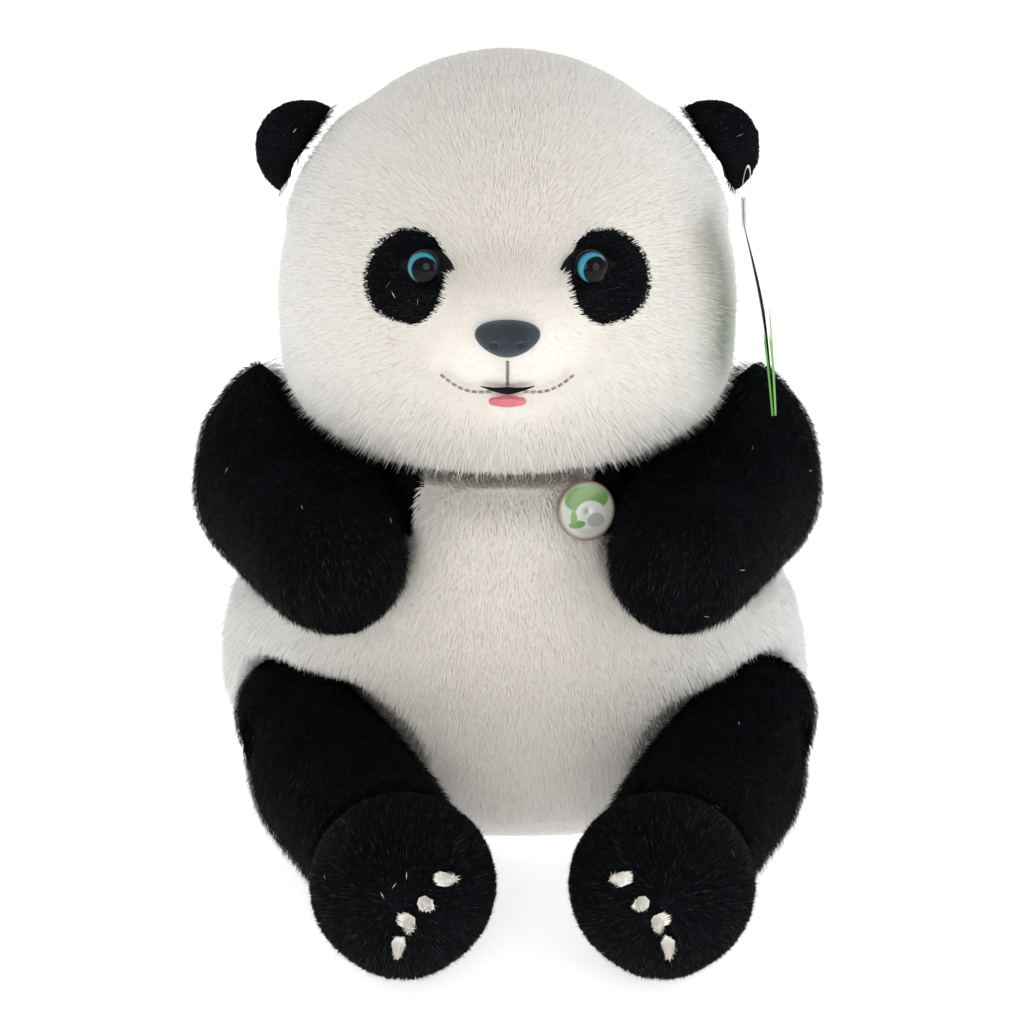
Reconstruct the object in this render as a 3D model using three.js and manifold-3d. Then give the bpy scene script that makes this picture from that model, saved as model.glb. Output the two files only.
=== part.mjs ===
// A sitting plush panda, in millimetres, +Z up, face toward -Y, +X is the panda's left.
// The origin is the middle of its flat seat on the floor. A skin's outer face is the
// tips of its pile, and each skin is a hollow shell with an opening where it is sewn on.
import * as THREE from "three";
import { mergeVertices } from "three/addons/utils/BufferGeometryUtils.js";
import Module from "manifold-3d";

const wasm = await Module();
wasm.setup();

// ---------------------------------------------------------------- driving dimensions
const GAP = 0.3; // between pieces that touch
const SKIN = 8; // backing cloth and pile together
const FILLING_GAP = 1; // between a skin and its filling
const HEAD_ROOM = 2; // round the space that the head sweeps
const LIMB_ROOM = 4.2; // round a limb, where the body is shaped to it
const SIDES = { left: 1, right: -1 };
const BIG = 300; // bigger than any piece, for cutting
// how finely an outer face and an inner face are divided
const FINE = { around: 16, capRings: 3, rows: 10, bodyAround: 28, headLevels: 16, torsoLevels: 13 };
const COARSE = { around: 12, capRings: 3, rows: 7, bodyAround: 18, headLevels: 9, torsoLevels: 7 };
const ROOM = { levels: 8, around: 22 }; // the space that the head sweeps

const HEAD = {
  widest: 226, // height of the cheeks
  top: 336,
  bottom: 160,
  neckFlat: 174, // the head is flat here, over the neck
  halfWidth: 101,
  centreY: -6,
  front: 91,
  back: 90,
  upperFullness: 2,
  lowerFullness: 2.75,
};
const MUZZLE = { centre: [0, -79, 241], radii: [46, 31, 36] };
const NECK = { openingRadius: 30, openingLength: 60, tieRadius: 18, tieThickness: 4.4, pivot: [0, 0, 166] };
const NECK_TURN = 16; // degrees each way
const NECK_NOD = { down: 3, up: 5 }; // degrees

const TORSO_LEVELS = [
  // height, half width, depth to the front
  [0, 106, 74],
  [12, 122, 85],
  [38, 130, 92],
  [64, 130, 94],
  [96, 122, 91],
  [128, 108, 85],
  [156, 94, 78],
  [178, 74, 66],
  [190, 44, 42],
];
const TORSO_BACK_SHARE = 0.97; // depth to the back, as a share of the depth to the front
const TORSO_LEAN = 4.5; // the seat lies this far to the panda's left of the neck
const YOKE = { backBottom: 118, frontBottom: 128 };
const BIB = [[53, 100], [53, 131], [38, 146], [30, 200]]; // half width and height of the white front

const ARM = {
  axis: [98, 2],
  // height and radius of the upper arm, about its upright axis
  upper: [
    [208, 0],
    [203, 9],
    [196, 16],
    [187, 24],
    [177, 31],
    [165, 37],
    [150, 40],
    [133, 38],
    [119, 29],
    [110, 14],
    [106, 0],
  ],
  elbow: [98, -18, 145],
  paw: [71, -93, 144],
  elbowRadius: 40,
  pawRadius: 32,
  open: [0, 22, 45], // degrees
  mouth: { middle: [70, 14, 146], direction: [1, -0.35, 0], radius: 13, length: 50 },
};
const LEG = {
  hip: [102, -50, 51],
  knee: [84, -92, 42],
  ankle: [61, -138, 38],
  hipRadius: 28,
  kneeRadius: 36,
  ankleRadius: 35,
  splay: [0, 25], // degrees
  ankleMouth: { direction: [-0.25, -0.97, 0], radius: 15, length: 60 },
  hipMouth: { direction: [-0.55, 0.83, 0], radius: 10, length: 80 },
};
const FOOT = { centre: [51.5, -171, 38], radii: [39.5, 39, 38] };
const LEG_LEAN = { atWaist: 7.2, slope: 0.016 }; // both legs lie a little to its left
const CLAW = { length: 9, radius: 3.4, tipRadius: 1, sink: 3, detail: { around: 7, capRings: 2 } };
const CLAW_DIRECTIONS = [
  // outward, forward and up, from the middle of the foot
  [-0.46, -0.74, 0.5],
  [-0.25, -0.91, 0.33],
  [-0.09, -0.98, 0.16],
  [0.01, -0.99, -0.08],
];
const EAR = {
  centre: [85, 8, 288],
  radius: 23.5,
  halfThickness: 11,
  thinning: 0.6, // how fast the thickness shrinks as the face moves in
  gap: 3.2,
  wall: 5,
  mouth: { centre: [88, 8, 281], radii: [9, 5.5, 12] },
};
const EYE = {
  centre: [32, 0, 267],
  normal: [0.27, -0.92, 0.26],
  domeRadius: 7.2,
  domeHeight: 4.8,
  irisRadius: 6.6,
  irisThickness: 1.6,
  rimThickness: 1.2,
  rimHalf: [11.5, 8.4],
  shankRadius: 2.2,
  shankLength: 17,
  washerRadius: 8,
  washerThickness: 2,
  washerFromEnd: 3,
  roomDepth: 12,
  roomMargin: 0.5,
};
const PATCH = { centre: [39, 262], half: [13.5, 19.5], lean: 36, recess: 2.5, columnDepth: 120 };
const NOSE = {
  centre: [0, -110, 246],
  half: [12.6, 7, 7.6],
  topWidening: 0.28,
  shankRadius: 2.5,
  shankLength: 24,
};
const NOSTRIL = { across: 5.2, forward: 6.2, down: 0.6, radii: [2.4, 2, 1.3] };
const NOSE_WASHER = { fromEnd: 4, radius: 9, thickness: 2 };
const PHILTRUM = { top: 237, bottom: 226.5, half: 0.7 };
const MOUTH = { thread: 0.65, line: [[6, 223], [14, 222.4], [20, 224.5], [26, 229]] };
const LINING = { centre: [0, 223.4], half: [4.8, 1.8], thickness: 0.8 };
const TONGUE = { centre: [0, 218.6], half: [7.6, 2.7], thickness: 2.4 };
const BADGE = {
  place: [31.5, 157.5],
  normal: [0.3, -0.92, 0.26],
  stand: 2.2,
  // distance out from the back edge, and radius, of each face of the tin
  outside: [[0, 12.5], [1.8, 12.5], [2.6, 10.75], [3, 5.6], [3, 0]],
  inside: [[2.4, 0], [2.4, 5], [1.2, 11.9], [0, 11.9]],
};
const BADGE_BACK = { near: 0.2, far: 0.7, radius: 11.6 }; // distances out from the badge's own back edge
const PIN = { wire: 0.4, half: 7.7, low: -0.9, rise: 0.6, drop: 3.2, reach: 1.2 };
const TAG = {
  hole: [101, -35, 275],
  anchor: [99, -13, 287],
  lean: 10.4,
  width: 42,
  length: 84,
  card: 0.8,
  corner: 5,
};
const TAG_HOLE = { radius: 2, fromTop: 4, fromBack: 8, depth: 6 };
const TAG_LOOP = { thickness: 0.6, flatness: 0.5 };
const TAIL = { centre: [3, 90, 32], radii: [24, 20, 21], wall: 6, mouthRadius: 8 };
const LABEL = { x: -44, bottom: 20, width: 20, length: 26, thickness: 0.8, turn: 14, stand: 1.5 };
const PELLETS = { centre: [4, 0, 9], radii: [72, 46, 24] };
const SEAM = { bottom: 62, top: 110, thread: 0.7, stitches: 9, half: 1.8 };

const COLOURS = {
  white_pile: [0xd9d6cf, 0.95],
  black_pile: [0x0c0d10, 0.95],
  stuffing: [0xf2f2ee, 1],
  felt_black: [0x141416, 0.9],
  felt_pink: [0xd98a8f, 0.9],
  flock: [0x2b2e33, 0.95],
  thread: [0x0a0a0b, 0.8],
  claw_white: [0xe6e6e2, 0.9],
  iris_blue: [0x3fa3bf, 0.3],
  clear_plastic: [0xdfe8ec, 0.05],
  plastic: [0x8f9296, 0.5],
  tin: [0x6f9a55, 0.3, 0.4],
  steel: [0xb8bbbf, 0.3, 1],
  card: [0xf1f0ea, 0.7],
  card_green: [0x4f8a3d, 0.7],
  satin: [0xf5f5f2, 0.5],
  bag_cloth: [0xd8d4c6, 0.9],
};

// ---------------------------------------------------------------- solids and meshes
const v3 = (p) => new THREE.Vector3(...p);
const mirrored = (p, side) => [p[0] * side, ...p.slice(1)];
const legPlace = ([x, y, z], side) => [x * side + LEG_LEAN.atWaist - LEG_LEAN.slope * y, y, z];

/** A solid from a closed geometry. */
function solid(geometry) {
  const bare = geometry.clone();
  bare.deleteAttribute("normal");
  bare.deleteAttribute("uv");
  const merged = mergeVertices(bare, 1e-4);
  const made = new wasm.Manifold(
    new wasm.Mesh({
      numProp: 3,
      vertProperties: new Float32Array(merged.attributes.position.array),
      triVerts: new Uint32Array(merged.index.array),
    }),
  );
  if (made.volume() <= 0) throw new Error("a shape is inside out");
  return made;
}

/** A solid from rings of points, with a pole at each end. */
function loft(rings, firstPole, lastPole) {
  const count = rings[0].length;
  const points = [firstPole, ...rings.flat(), lastPole];
  const last = points.length - 1;
  const at = (ring, i) => 1 + ring * count + (i % count);
  const faces = [];
  for (let i = 0; i < count; i++) {
    faces.push(0, at(0, i + 1), at(0, i));
    for (let ring = 0; ring + 1 < rings.length; ring++) {
      faces.push(at(ring, i), at(ring, i + 1), at(ring + 1, i + 1));
      faces.push(at(ring, i), at(ring + 1, i + 1), at(ring + 1, i));
    }
    faces.push(at(rings.length - 1, i), at(rings.length - 1, i + 1), last);
  }
  const geometry = new THREE.BufferGeometry().setFromPoints(points);
  geometry.setIndex(faces);
  return solid(geometry);
}

function ellipsoid(centre, radii, detail = FINE) {
  const geometry = new THREE.SphereGeometry(1, detail.around, detail.rows);
  geometry.rotateX(Math.PI / 2);
  geometry.scale(...radii);
  geometry.translate(...centre);
  return solid(geometry);
}

/** A cylinder whose middle is at a point, along a direction. */
function rod(middle, direction, radius, length, sides = 12) {
  const geometry = new THREE.CylinderGeometry(radius, radius, length, sides);
  const turn = new THREE.Quaternion().setFromUnitVectors(new THREE.Vector3(0, 1, 0), v3(direction).normalize());
  geometry.applyQuaternion(turn);
  geometry.translate(...middle);
  return solid(geometry);
}

/** A block between two corners. */
function block(low, high) {
  const geometry = new THREE.BoxGeometry(...high.map((end, i) => end - low[i]));
  geometry.translate(...high.map((end, i) => (end + low[i]) / 2));
  return solid(geometry);
}

/** Everything below a height. */
function below(z) {
  return block([-BIG, -BIG, z - BIG], [BIG, BIG, z]);
}

/** A body of revolution about an upright axis, from [height, radius] pairs that start and end on the axis. */
function upright(profile, axis, sides = 24) {
  const geometry = new THREE.LatheGeometry(profile.map(([z, r]) => new THREE.Vector2(r, z)).reverse(), sides);
  geometry.rotateX(Math.PI / 2);
  geometry.translate(axis[0], axis[1], 0);
  return solid(geometry);
}

/** Places a geometry whose own +z is a normal and whose own +y stays as upright as it can. */
function facing(geometry, place, normal) {
  const z = v3(normal).normalize();
  const x = new THREE.Vector3().crossVectors(new THREE.Vector3(0, 0, 1), z).normalize();
  const y = new THREE.Vector3().crossVectors(z, x);
  geometry.applyMatrix4(new THREE.Matrix4().makeBasis(x, y, z).setPosition(...place));
  return solid(geometry);
}

function along(place, normal, distance) {
  return v3(place).addScaledVector(v3(normal).normalize(), distance).toArray();
}

/** A shape and copies of it turned about an upright axis. */
function swept(shape, pivot, degrees) {
  const turned = (angle) =>
    shape.translate([-pivot[0], -pivot[1], 0]).rotate([0, 0, angle]).translate([pivot[0], pivot[1], 0]);
  return degrees.map(turned).reduce((all, one) => all.add(one));
}

/** The biggest body of a shape, without the slivers that a cut can leave. */
function largest(shape) {
  return shape.decompose().reduce((best, one) => (one.volume() > best.volume() ? one : best));
}

const group = new THREE.Group();

/** Adds a solid to the panda as a named mesh. */
function add(name, shape, colour) {
  const mesh = shape.getMesh();
  const geometry = new THREE.BufferGeometry();
  geometry.setAttribute("position", new THREE.BufferAttribute(mesh.vertProperties, 3));
  geometry.setIndex(new THREE.BufferAttribute(mesh.triVerts, 1));
  geometry.computeVertexNormals();
  const [color, roughness, metalness = 0] = COLOURS[colour];
  const piece = new THREE.Mesh(geometry, new THREE.MeshStandardMaterial({ color, roughness, metalness }));
  piece.name = name;
  group.add(piece);
}

// ---------------------------------------------------------------- head
/** How wide the head is at a height, as a share of its widest. */
function headShare(z, inset) {
  const upper = z > HEAD.widest;
  const tall = (upper ? HEAD.top - HEAD.widest : HEAD.widest - HEAD.bottom) - inset;
  const power = upper ? HEAD.upperFullness : HEAD.lowerFullness;
  const t = Math.min(1, Math.abs(z - HEAD.widest) / tall);
  return (1 - t ** power) ** (1 / power);
}

/** The head without its muzzle, each face moved in by inset. */
function skull(inset, detail) {
  const { bodyAround: around, headLevels: levels } = detail;
  const top = HEAD.top - inset;
  const bottom = HEAD.bottom + inset;
  const rings = [];
  for (let i = 1; i < levels; i++) {
    const z = (top + bottom) / 2 - ((top - bottom) / 2) * Math.cos((Math.PI * i) / levels);
    const share = headShare(z, inset);
    const ring = [];
    for (let k = 0; k < around; k++) {
      const angle = (2 * Math.PI * k) / around;
      const deep = (Math.sin(angle) < 0 ? HEAD.front : HEAD.back) - inset;
      const x = (HEAD.halfWidth - inset) * share * Math.cos(angle);
      ring.push(new THREE.Vector3(x, HEAD.centreY + deep * share * Math.sin(angle), z));
    }
    rings.push(ring);
  }
  return loft(rings, new THREE.Vector3(0, HEAD.centreY, bottom), new THREE.Vector3(0, HEAD.centreY, top));
}

function headBody(inset, detail = FINE) {
  const muzzle = ellipsoid(MUZZLE.centre, MUZZLE.radii.map((r) => r - inset), detail);
  return skull(inset, detail).add(muzzle).subtract(below(HEAD.neckFlat + inset));
}

/** How far the head reaches from the neck in a direction, as it turns each way. */
function headReach(angle, share) {
  const turn = THREE.MathUtils.degToRad(NECK_TURN);
  const reaches = [-turn, -turn / 2, 0, turn / 2, turn].map((off) => {
    const [across, deep] = [Math.cos(angle + off), Math.sin(angle + off)];
    const depth = deep < 0 ? HEAD.front * share - HEAD.centreY : HEAD.back * share + HEAD.centreY;
    return 1 / Math.hypot(across / (HEAD.halfWidth * share), deep / depth);
  });
  return Math.max(...reaches);
}

/** How much of a nod shows in a direction, as [forward, back] shares, once the head has turned. */
function nodShares(angle) {
  const towardFront = -THREE.MathUtils.radToDeg(Math.asin(Math.sin(angle)));
  const turned = (degrees) => THREE.MathUtils.clamp(degrees + NECK_TURN, 0, 90);
  const share = (degrees) => Math.sin(THREE.MathUtils.degToRad(turned(degrees)));
  return [share(towardFront), share(-towardFront)];
}

/** The space that the head sweeps over the shoulders as it turns and nods. */
function headRoom(clearance) {
  const { levels, around } = ROOM;
  const [down, up] = [NECK_NOD.down, NECK_NOD.up].map((angle) => Math.sin(THREE.MathUtils.degToRad(angle)));
  const rings = [];
  for (let i = 1; i <= levels; i++) {
    const z = HEAD.neckFlat + 0.01 + ((HEAD.top - HEAD.neckFlat - 1) * (levels - i)) / (levels - 1);
    const share = headShare(z, 0);
    const ring = [];
    for (let k = 0; k < around; k++) {
      const angle = (2 * Math.PI * k) / around;
      const [forward, back] = nodShares(angle);
      const reach = headReach(angle, share) / Math.cos(Math.PI / around);
      const drop = reach * Math.max(forward * down, back * up);
      const out = reach + Math.max(0, z - NECK.pivot[2]) * Math.max(forward * down, back * up) + clearance;
      ring.push(new THREE.Vector3(out * Math.cos(angle), out * Math.sin(angle), z - drop - clearance));
    }
    rings.push(ring);
  }
  const bottom = new THREE.Vector3(0, 0, HEAD.neckFlat - NECK.tieRadius * up - clearance);
  const top = new THREE.Vector3(0, 0, HEAD.top + clearance);
  return loft(rings.reverse(), bottom, top);
}

/** The depth of the face at a place, in front of the middle. */
function faceY(x, z, inset = 0) {
  const share = headShare(z, inset);
  const across = x / ((HEAD.halfWidth - inset) * share);
  const skullY = HEAD.centreY - (HEAD.front - inset) * share * Math.sqrt(Math.max(0, 1 - across ** 2));
  const [cx, cy, cz] = MUZZLE.centre;
  const [rx, ry, rz] = MUZZLE.radii.map((r) => r - inset);
  const left = 1 - ((x - cx) / rx) ** 2 - ((z - cz) / rz) ** 2;
  return left > 0 ? Math.min(skullY, cy - ry * Math.sqrt(left)) : skullY;
}

/** Which way the face looks at a place. */
function faceNormal(x, z) {
  const step = 1;
  const acrossSlope = (faceY(x + step, z) - faceY(x - step, z)) / (2 * step);
  const upSlope = (faceY(x, z + step) - faceY(x, z - step)) / (2 * step);
  return new THREE.Vector3(acrossSlope, -1, upSlope).normalize().toArray();
}

function ellipseOutline(halfWidth, halfHeight, lean = 0) {
  const outline = new THREE.Shape();
  outline.absellipse(0, 0, halfWidth, halfHeight, 0, 2 * Math.PI, false, THREE.MathUtils.degToRad(lean));
  return outline;
}

/** A pointed oval, wider than it is tall. */
function almondOutline(halfWidth, halfHeight) {
  const outline = new THREE.Shape();
  outline.moveTo(-halfWidth, 0);
  outline.quadraticCurveTo(-halfWidth / 3, 1.7 * halfHeight, halfWidth, 0);
  outline.quadraticCurveTo(-halfWidth / 3, -1.7 * halfHeight, -halfWidth, 0);
  return outline;
}

/** The slanted oval column that cuts an eye patch out of the face. */
function patchColumn(side, grow) {
  const [x, z] = PATCH.centre;
  const outline = ellipseOutline(PATCH.half[0] + grow, PATCH.half[1] + grow, PATCH.lean * side);
  const depth = PATCH.columnDepth;
  const column = new THREE.ExtrudeGeometry(outline, { depth, bevelEnabled: false, curveSegments: 14 });
  column.rotateX(Math.PI / 2);
  column.translate(x * side, 0, z);
  return solid(column);
}

/** A place on the eye's own axis, at a distance out from the face. */
function eyePlace(side, distance) {
  const [x, , z] = EYE.centre;
  return along([x * side, faceY(x, z), z], mirrored(EYE.normal, side), distance);
}

/** A round piece on the eye's axis, between two distances out from the face. */
function eyeRound(side, radius, from, to, sides = 20) {
  return rod(eyePlace(side, (from + to) / 2), mirrored(EYE.normal, side), radius, to - from, sides);
}

/** Almond rim, grown sideways and outward by a margin. */
function eyeRim(side, from, thickness, grow = 0) {
  const outline = almondOutline((EYE.rimHalf[0] + grow) * side, EYE.rimHalf[1] + grow);
  const rim = new THREE.ExtrudeGeometry(outline, { depth: thickness, bevelEnabled: false, curveSegments: 8 });
  return facing(rim, eyePlace(side, from), mirrored(EYE.normal, side));
}

const RIM_BACK = -1.6;
const IRIS_BACK = RIM_BACK + EYE.rimThickness + GAP;
const DOME_BACK = IRIS_BACK + EYE.irisThickness + GAP;
const SHANK_END = IRIS_BACK - EYE.shankLength;
const WASHER_BACK = SHANK_END + EYE.washerFromEnd;

function eyeDome(side) {
  const steps = 5;
  const profile = [new THREE.Vector2(0, 0), new THREE.Vector2(EYE.domeRadius, 0)];
  for (let i = 1; i < steps; i++) {
    const angle = (Math.PI / 2) * (i / steps);
    profile.push(new THREE.Vector2(EYE.domeRadius * Math.cos(angle), EYE.domeHeight * Math.sin(angle)));
  }
  profile.push(new THREE.Vector2(0, EYE.domeHeight));
  const dome = new THREE.LatheGeometry(profile, 20);
  dome.rotateX(Math.PI / 2);
  return facing(dome, eyePlace(side, DOME_BACK), mirrored(EYE.normal, side));
}

/** The space over the back of the rim. */
function rimRoom(side) {
  return eyeRim(side, RIM_BACK - GAP, EYE.roomDepth, EYE.roomMargin);
}

/** What an eye needs cleared out of the cloth and the filling. */
function eyeRoom(side) {
  const shank = eyeRound(side, EYE.shankRadius + GAP, SHANK_END - GAP, RIM_BACK + 1);
  const front = WASHER_BACK + EYE.washerThickness + GAP;
  const washer = eyeRound(side, EYE.washerRadius + GAP, WASHER_BACK - GAP, front);
  return shank.add(washer).add(rimRoom(side));
}

function noseShank(grow) {
  const [x, y, z] = NOSE.centre;
  const radius = NOSE.shankRadius + grow;
  return rod([x, y + NOSE.shankLength / 2, z], [0, 1, 0], radius, NOSE.shankLength + 2 * grow);
}

/** A round piece on the nose's shank, behind the face. */
function noseWasher(radius, thickness) {
  const [x, y, z] = NOSE.centre;
  return rod([x, y + NOSE.shankLength - NOSE_WASHER.fromEnd, z], [0, 1, 0], radius, thickness);
}

/** A rounded triangle with two nostrils and a shank. */
function nose() {
  const ball = new THREE.SphereGeometry(1, 20, 12);
  ball.rotateX(Math.PI / 2);
  const place = ball.attributes.position;
  for (let i = 0; i < place.count; i++) {
    place.setX(i, place.getX(i) * (1 + NOSE.topWidening * place.getZ(i)));
  }
  ball.scale(...NOSE.half);
  ball.translate(...NOSE.centre);
  let shape = largest(solid(ball).subtract(headBody(-GAP))).add(noseShank(0));
  const [, y, z] = NOSE.centre;
  for (const side of Object.values(SIDES)) {
    const nostril = [NOSTRIL.across * side, y - NOSTRIL.forward, z - NOSTRIL.down];
    shape = shape.subtract(ellipsoid(nostril, NOSTRIL.radii, COARSE));
  }
  return shape;
}

function washer(middle, direction, radius, thickness, hole) {
  return rod(middle, direction, radius, thickness).subtract(rod(middle, direction, hole, 3 * thickness));
}

/** A round thread or wire along points. */
function threadGeometry(points, radius, curveSegments = 3, steps = 8) {
  const section = new THREE.Shape();
  section.absarc(0, 0, radius, 0, 2 * Math.PI);
  const extrudePath = new THREE.CatmullRomCurve3(points.map(v3));
  return new THREE.ExtrudeGeometry(section, { steps, extrudePath, curveSegments, bevelEnabled: false });
}

/** A flat felt or cloth shape that lies on the face, just proud of it. */
function faceApplique(outline, place, thickness) {
  const [x, z] = place;
  const geometry = new THREE.ExtrudeGeometry(outline, { depth: thickness, bevelEnabled: false, curveSegments: 8 });
  const normal = faceNormal(x, z);
  return facing(geometry, along([x, faceY(x, z), z], normal, GAP), normal);
}

/** The opening through which the head and the body are stuffed and joined. */
function neckHole() {
  return rod(NECK.pivot, [0, 0, 1], NECK.openingRadius, NECK.openingLength);
}

function buildHead() {
  const outer = headBody(0);
  const inner = headBody(SKIN, COARSE);
  const eyes = Object.values(SIDES).map(eyeRoom).reduce((a, b) => a.add(b));
  const holes = eyes.add(noseShank(GAP));
  const columns = Object.values(SIDES).map((side) => patchColumn(side, GAP)).reduce((a, b) => a.add(b));
  add("head_skin", outer.subtract(inner).subtract(neckHole()).subtract(columns).subtract(holes), "white_pile");
  const noseWasherRoom = noseWasher(NOSE_WASHER.radius + GAP, NOSE_WASHER.thickness + 2 * GAP);
  const filling = headBody(SKIN + FILLING_GAP, COARSE).subtract(holes).subtract(noseWasherRoom);
  add("head_stuffing", filling, "stuffing");
  const patchShell = headBody(PATCH.recess).subtract(inner);
  const hole = EYE.shankRadius + GAP;
  for (const [name, side] of Object.entries(SIDES)) {
    const normal = mirrored(EYE.normal, side);
    const shankRoom = eyeRound(side, hole, SHANK_END, RIM_BACK + 2 * EYE.rimThickness);
    const patch = patchShell.intersect(patchColumn(side, 0)).subtract(shankRoom).subtract(rimRoom(side));
    add(`eye_patch_${name}`, patch, "black_pile");
    add(`eye_rim_${name}`, eyeRim(side, RIM_BACK, EYE.rimThickness).subtract(shankRoom), "felt_black");
    const iris = eyeRound(side, EYE.irisRadius, IRIS_BACK, IRIS_BACK + EYE.irisThickness);
    const shank = eyeRound(side, EYE.shankRadius, SHANK_END, IRIS_BACK + EYE.irisThickness / 2, 12);
    add(`eye_iris_${name}`, iris.add(shank), "iris_blue");
    add(`eye_dome_${name}`, eyeDome(side), "clear_plastic");
    const middle = eyePlace(side, WASHER_BACK + EYE.washerThickness / 2);
    add(`eye_washer_${name}`, washer(middle, normal, EYE.washerRadius, EYE.washerThickness, hole), "plastic");
  }
}

function buildNoseAndMouth() {
  add("nose", nose(), "flock");
  const washerHole = noseWasher(NOSE.shankRadius + GAP, 2 * NOSE_WASHER.thickness);
  add("nose_washer", noseWasher(NOSE_WASHER.radius, NOSE_WASHER.thickness).subtract(washerHole), "plastic");
  const onFace = (x, z, radius) => along([x, faceY(x, z), z], faceNormal(x, z), radius + GAP);
  const { top, bottom, half } = PHILTRUM;
  const down = [top, (top + bottom) / 2, bottom].map((z) => onFace(0, z, half));
  add("philtrum_stitch", solid(threadGeometry(down, half)).subtract(nose().add(headBody(0))), "thread");
  for (const [name, side] of Object.entries(SIDES)) {
    const line = MOUTH.line.map(([x, z]) => mirrored(onFace(x, z, MOUTH.thread), side));
    add(`mouth_stitch_${name}`, solid(threadGeometry(line, MOUTH.thread)).subtract(headBody(0)), "thread");
  }
  const lining = faceApplique(ellipseOutline(...LINING.half), LINING.centre, LINING.thickness);
  add("mouth_lining", lining.subtract(headBody(-GAP)), "felt_black");
  const tongue = faceApplique(ellipseOutline(...TONGUE.half), TONGUE.centre, TONGUE.thickness);
  add("tongue", tongue.subtract(headBody(-GAP)), "felt_pink");
}

// ---------------------------------------------------------------- ears and hang tag
function earBody(side, inset, detail) {
  const radii = [EAR.radius - inset, EAR.halfThickness - inset * EAR.thinning, EAR.radius - inset];
  return ellipsoid(mirrored(EAR.centre, side), radii, detail).subtract(skull(-EAR.gap - inset, FINE));
}

function buildEars() {
  for (const [name, side] of Object.entries(SIDES)) {
    const mouth = ellipsoid(mirrored(EAR.mouth.centre, side), EAR.mouth.radii, COARSE);
    const skin = earBody(side, 0, FINE).subtract(earBody(side, EAR.wall, COARSE)).subtract(mouth);
    add(`ear_skin_${name}`, skin, "black_pile");
    add(`ear_wadding_${name}`, earBody(side, EAR.wall + FILLING_GAP, COARSE), "stuffing");
  }
}

/** The outline of one leaf of the card, with rounded corners, about the place of its hole. */
function tagOutline() {
  const { width, length, corner } = TAG;
  const { fromTop, fromBack } = TAG_HOLE;
  const outline = new THREE.Shape();
  const [back, front, top, bottom] = [fromBack, fromBack - width, fromTop, fromTop - length];
  outline.moveTo(back - corner, top);
  outline.quadraticCurveTo(back, top, back, top - corner);
  outline.lineTo(back, bottom + corner);
  outline.quadraticCurveTo(back, bottom, back - corner, bottom);
  outline.lineTo(front + corner, bottom);
  outline.quadraticCurveTo(front, bottom, front, bottom + corner);
  outline.lineTo(front, top - corner);
  outline.quadraticCurveTo(front, top, front + corner, top);
  outline.closePath();
  return outline;
}

function buildTag() {
  const leaf = (distance, colour, name) => {
    const depth = TAG.card;
    const card = new THREE.ExtrudeGeometry(tagOutline(), { depth, bevelEnabled: false, curveSegments: 4 });
    // own x to +Y, own y to +Z, own z to +X
    card.applyMatrix4(
      new THREE.Matrix4().makeBasis(v3([0, 1, 0]), v3([0, 0, 1]), v3([1, 0, 0])).setPosition(distance, 0, 0),
    );
    card.rotateY(-THREE.MathUtils.degToRad(TAG.lean));
    card.translate(...TAG.hole);
    const hole = rod(TAG.hole, [1, 0, 0], TAG_HOLE.radius, TAG_HOLE.depth);
    add(name, solid(card).subtract(hole), colour);
  };
  leaf(GAP / 2, "card", "tag_front");
  leaf(-TAG.card - GAP / 2, "card_green", "tag_back");
  const [low, high] = [v3(TAG.hole), v3(TAG.anchor)];
  const middle = low.clone().add(high).multiplyScalar(0.5);
  const half = high.clone().sub(low).multiplyScalar(0.5);
  const ring = new THREE.TorusGeometry(half.length(), TAG_LOOP.thickness, 5, 16);
  ring.scale(TAG_LOOP.flatness, 1, 1);
  const up = half.clone().normalize();
  const across = v3([1, 0, 0]);
  const out = new THREE.Vector3().crossVectors(across, up);
  ring.applyMatrix4(new THREE.Matrix4().makeBasis(across, up, out).setPosition(middle));
  add("tag_loop", solid(ring), "plastic");
}

// ---------------------------------------------------------------- limbs
/** A straight limb with a ball at each end, each face moved in by inset. */
function capsule(from, to, fromRadius, toRadius, inset, { around, capRings }) {
  const [a, b] = [v3(from), v3(to)];
  const axis = b.clone().sub(a).normalize();
  const across = new THREE.Vector3().crossVectors(axis, new THREE.Vector3(0, 0, 1)).normalize();
  const up = new THREE.Vector3().crossVectors(axis, across);
  const ring = (centre, radius) =>
    Array.from({ length: around }, (_, i) => {
      const angle = (2 * Math.PI * i) / around;
      const place = centre.clone().addScaledVector(across, radius * Math.cos(angle));
      return place.addScaledVector(up, radius * Math.sin(angle));
    });
  const [ra, rb] = [fromRadius - inset, toRadius - inset];
  const turns = Array.from({ length: capRings }, (_, i) => ((i + 1) / capRings) * (Math.PI / 2));
  const back = turns.map((t) => ring(a.clone().addScaledVector(axis, -ra * Math.cos(t)), ra * Math.sin(t)));
  const front = turns.map((t) => ring(b.clone().addScaledVector(axis, rb * Math.cos(t)), rb * Math.sin(t)));
  const ends = [a.clone().addScaledVector(axis, -ra), b.clone().addScaledVector(axis, rb)];
  return loft([...back, ...front.reverse()], ...ends);
}

/** The upper arm, which is round about the axis that it turns on. */
function upperArm(side, inset, detail) {
  const heights = ARM.upper.map(([z]) => z);
  const [top, bottom] = [Math.max(...heights), Math.min(...heights)];
  const [middle, half] = [(top + bottom) / 2, (top - bottom) / 2];
  const widest = Math.max(...ARM.upper.map(([, r]) => r));
  const profile = ARM.upper.map(([z, r]) => [
    middle + (z - middle) * (1 - inset / half),
    r * (1 - inset / widest),
  ]);
  return upright(profile, mirrored(ARM.axis, side), detail.around);
}

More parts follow.
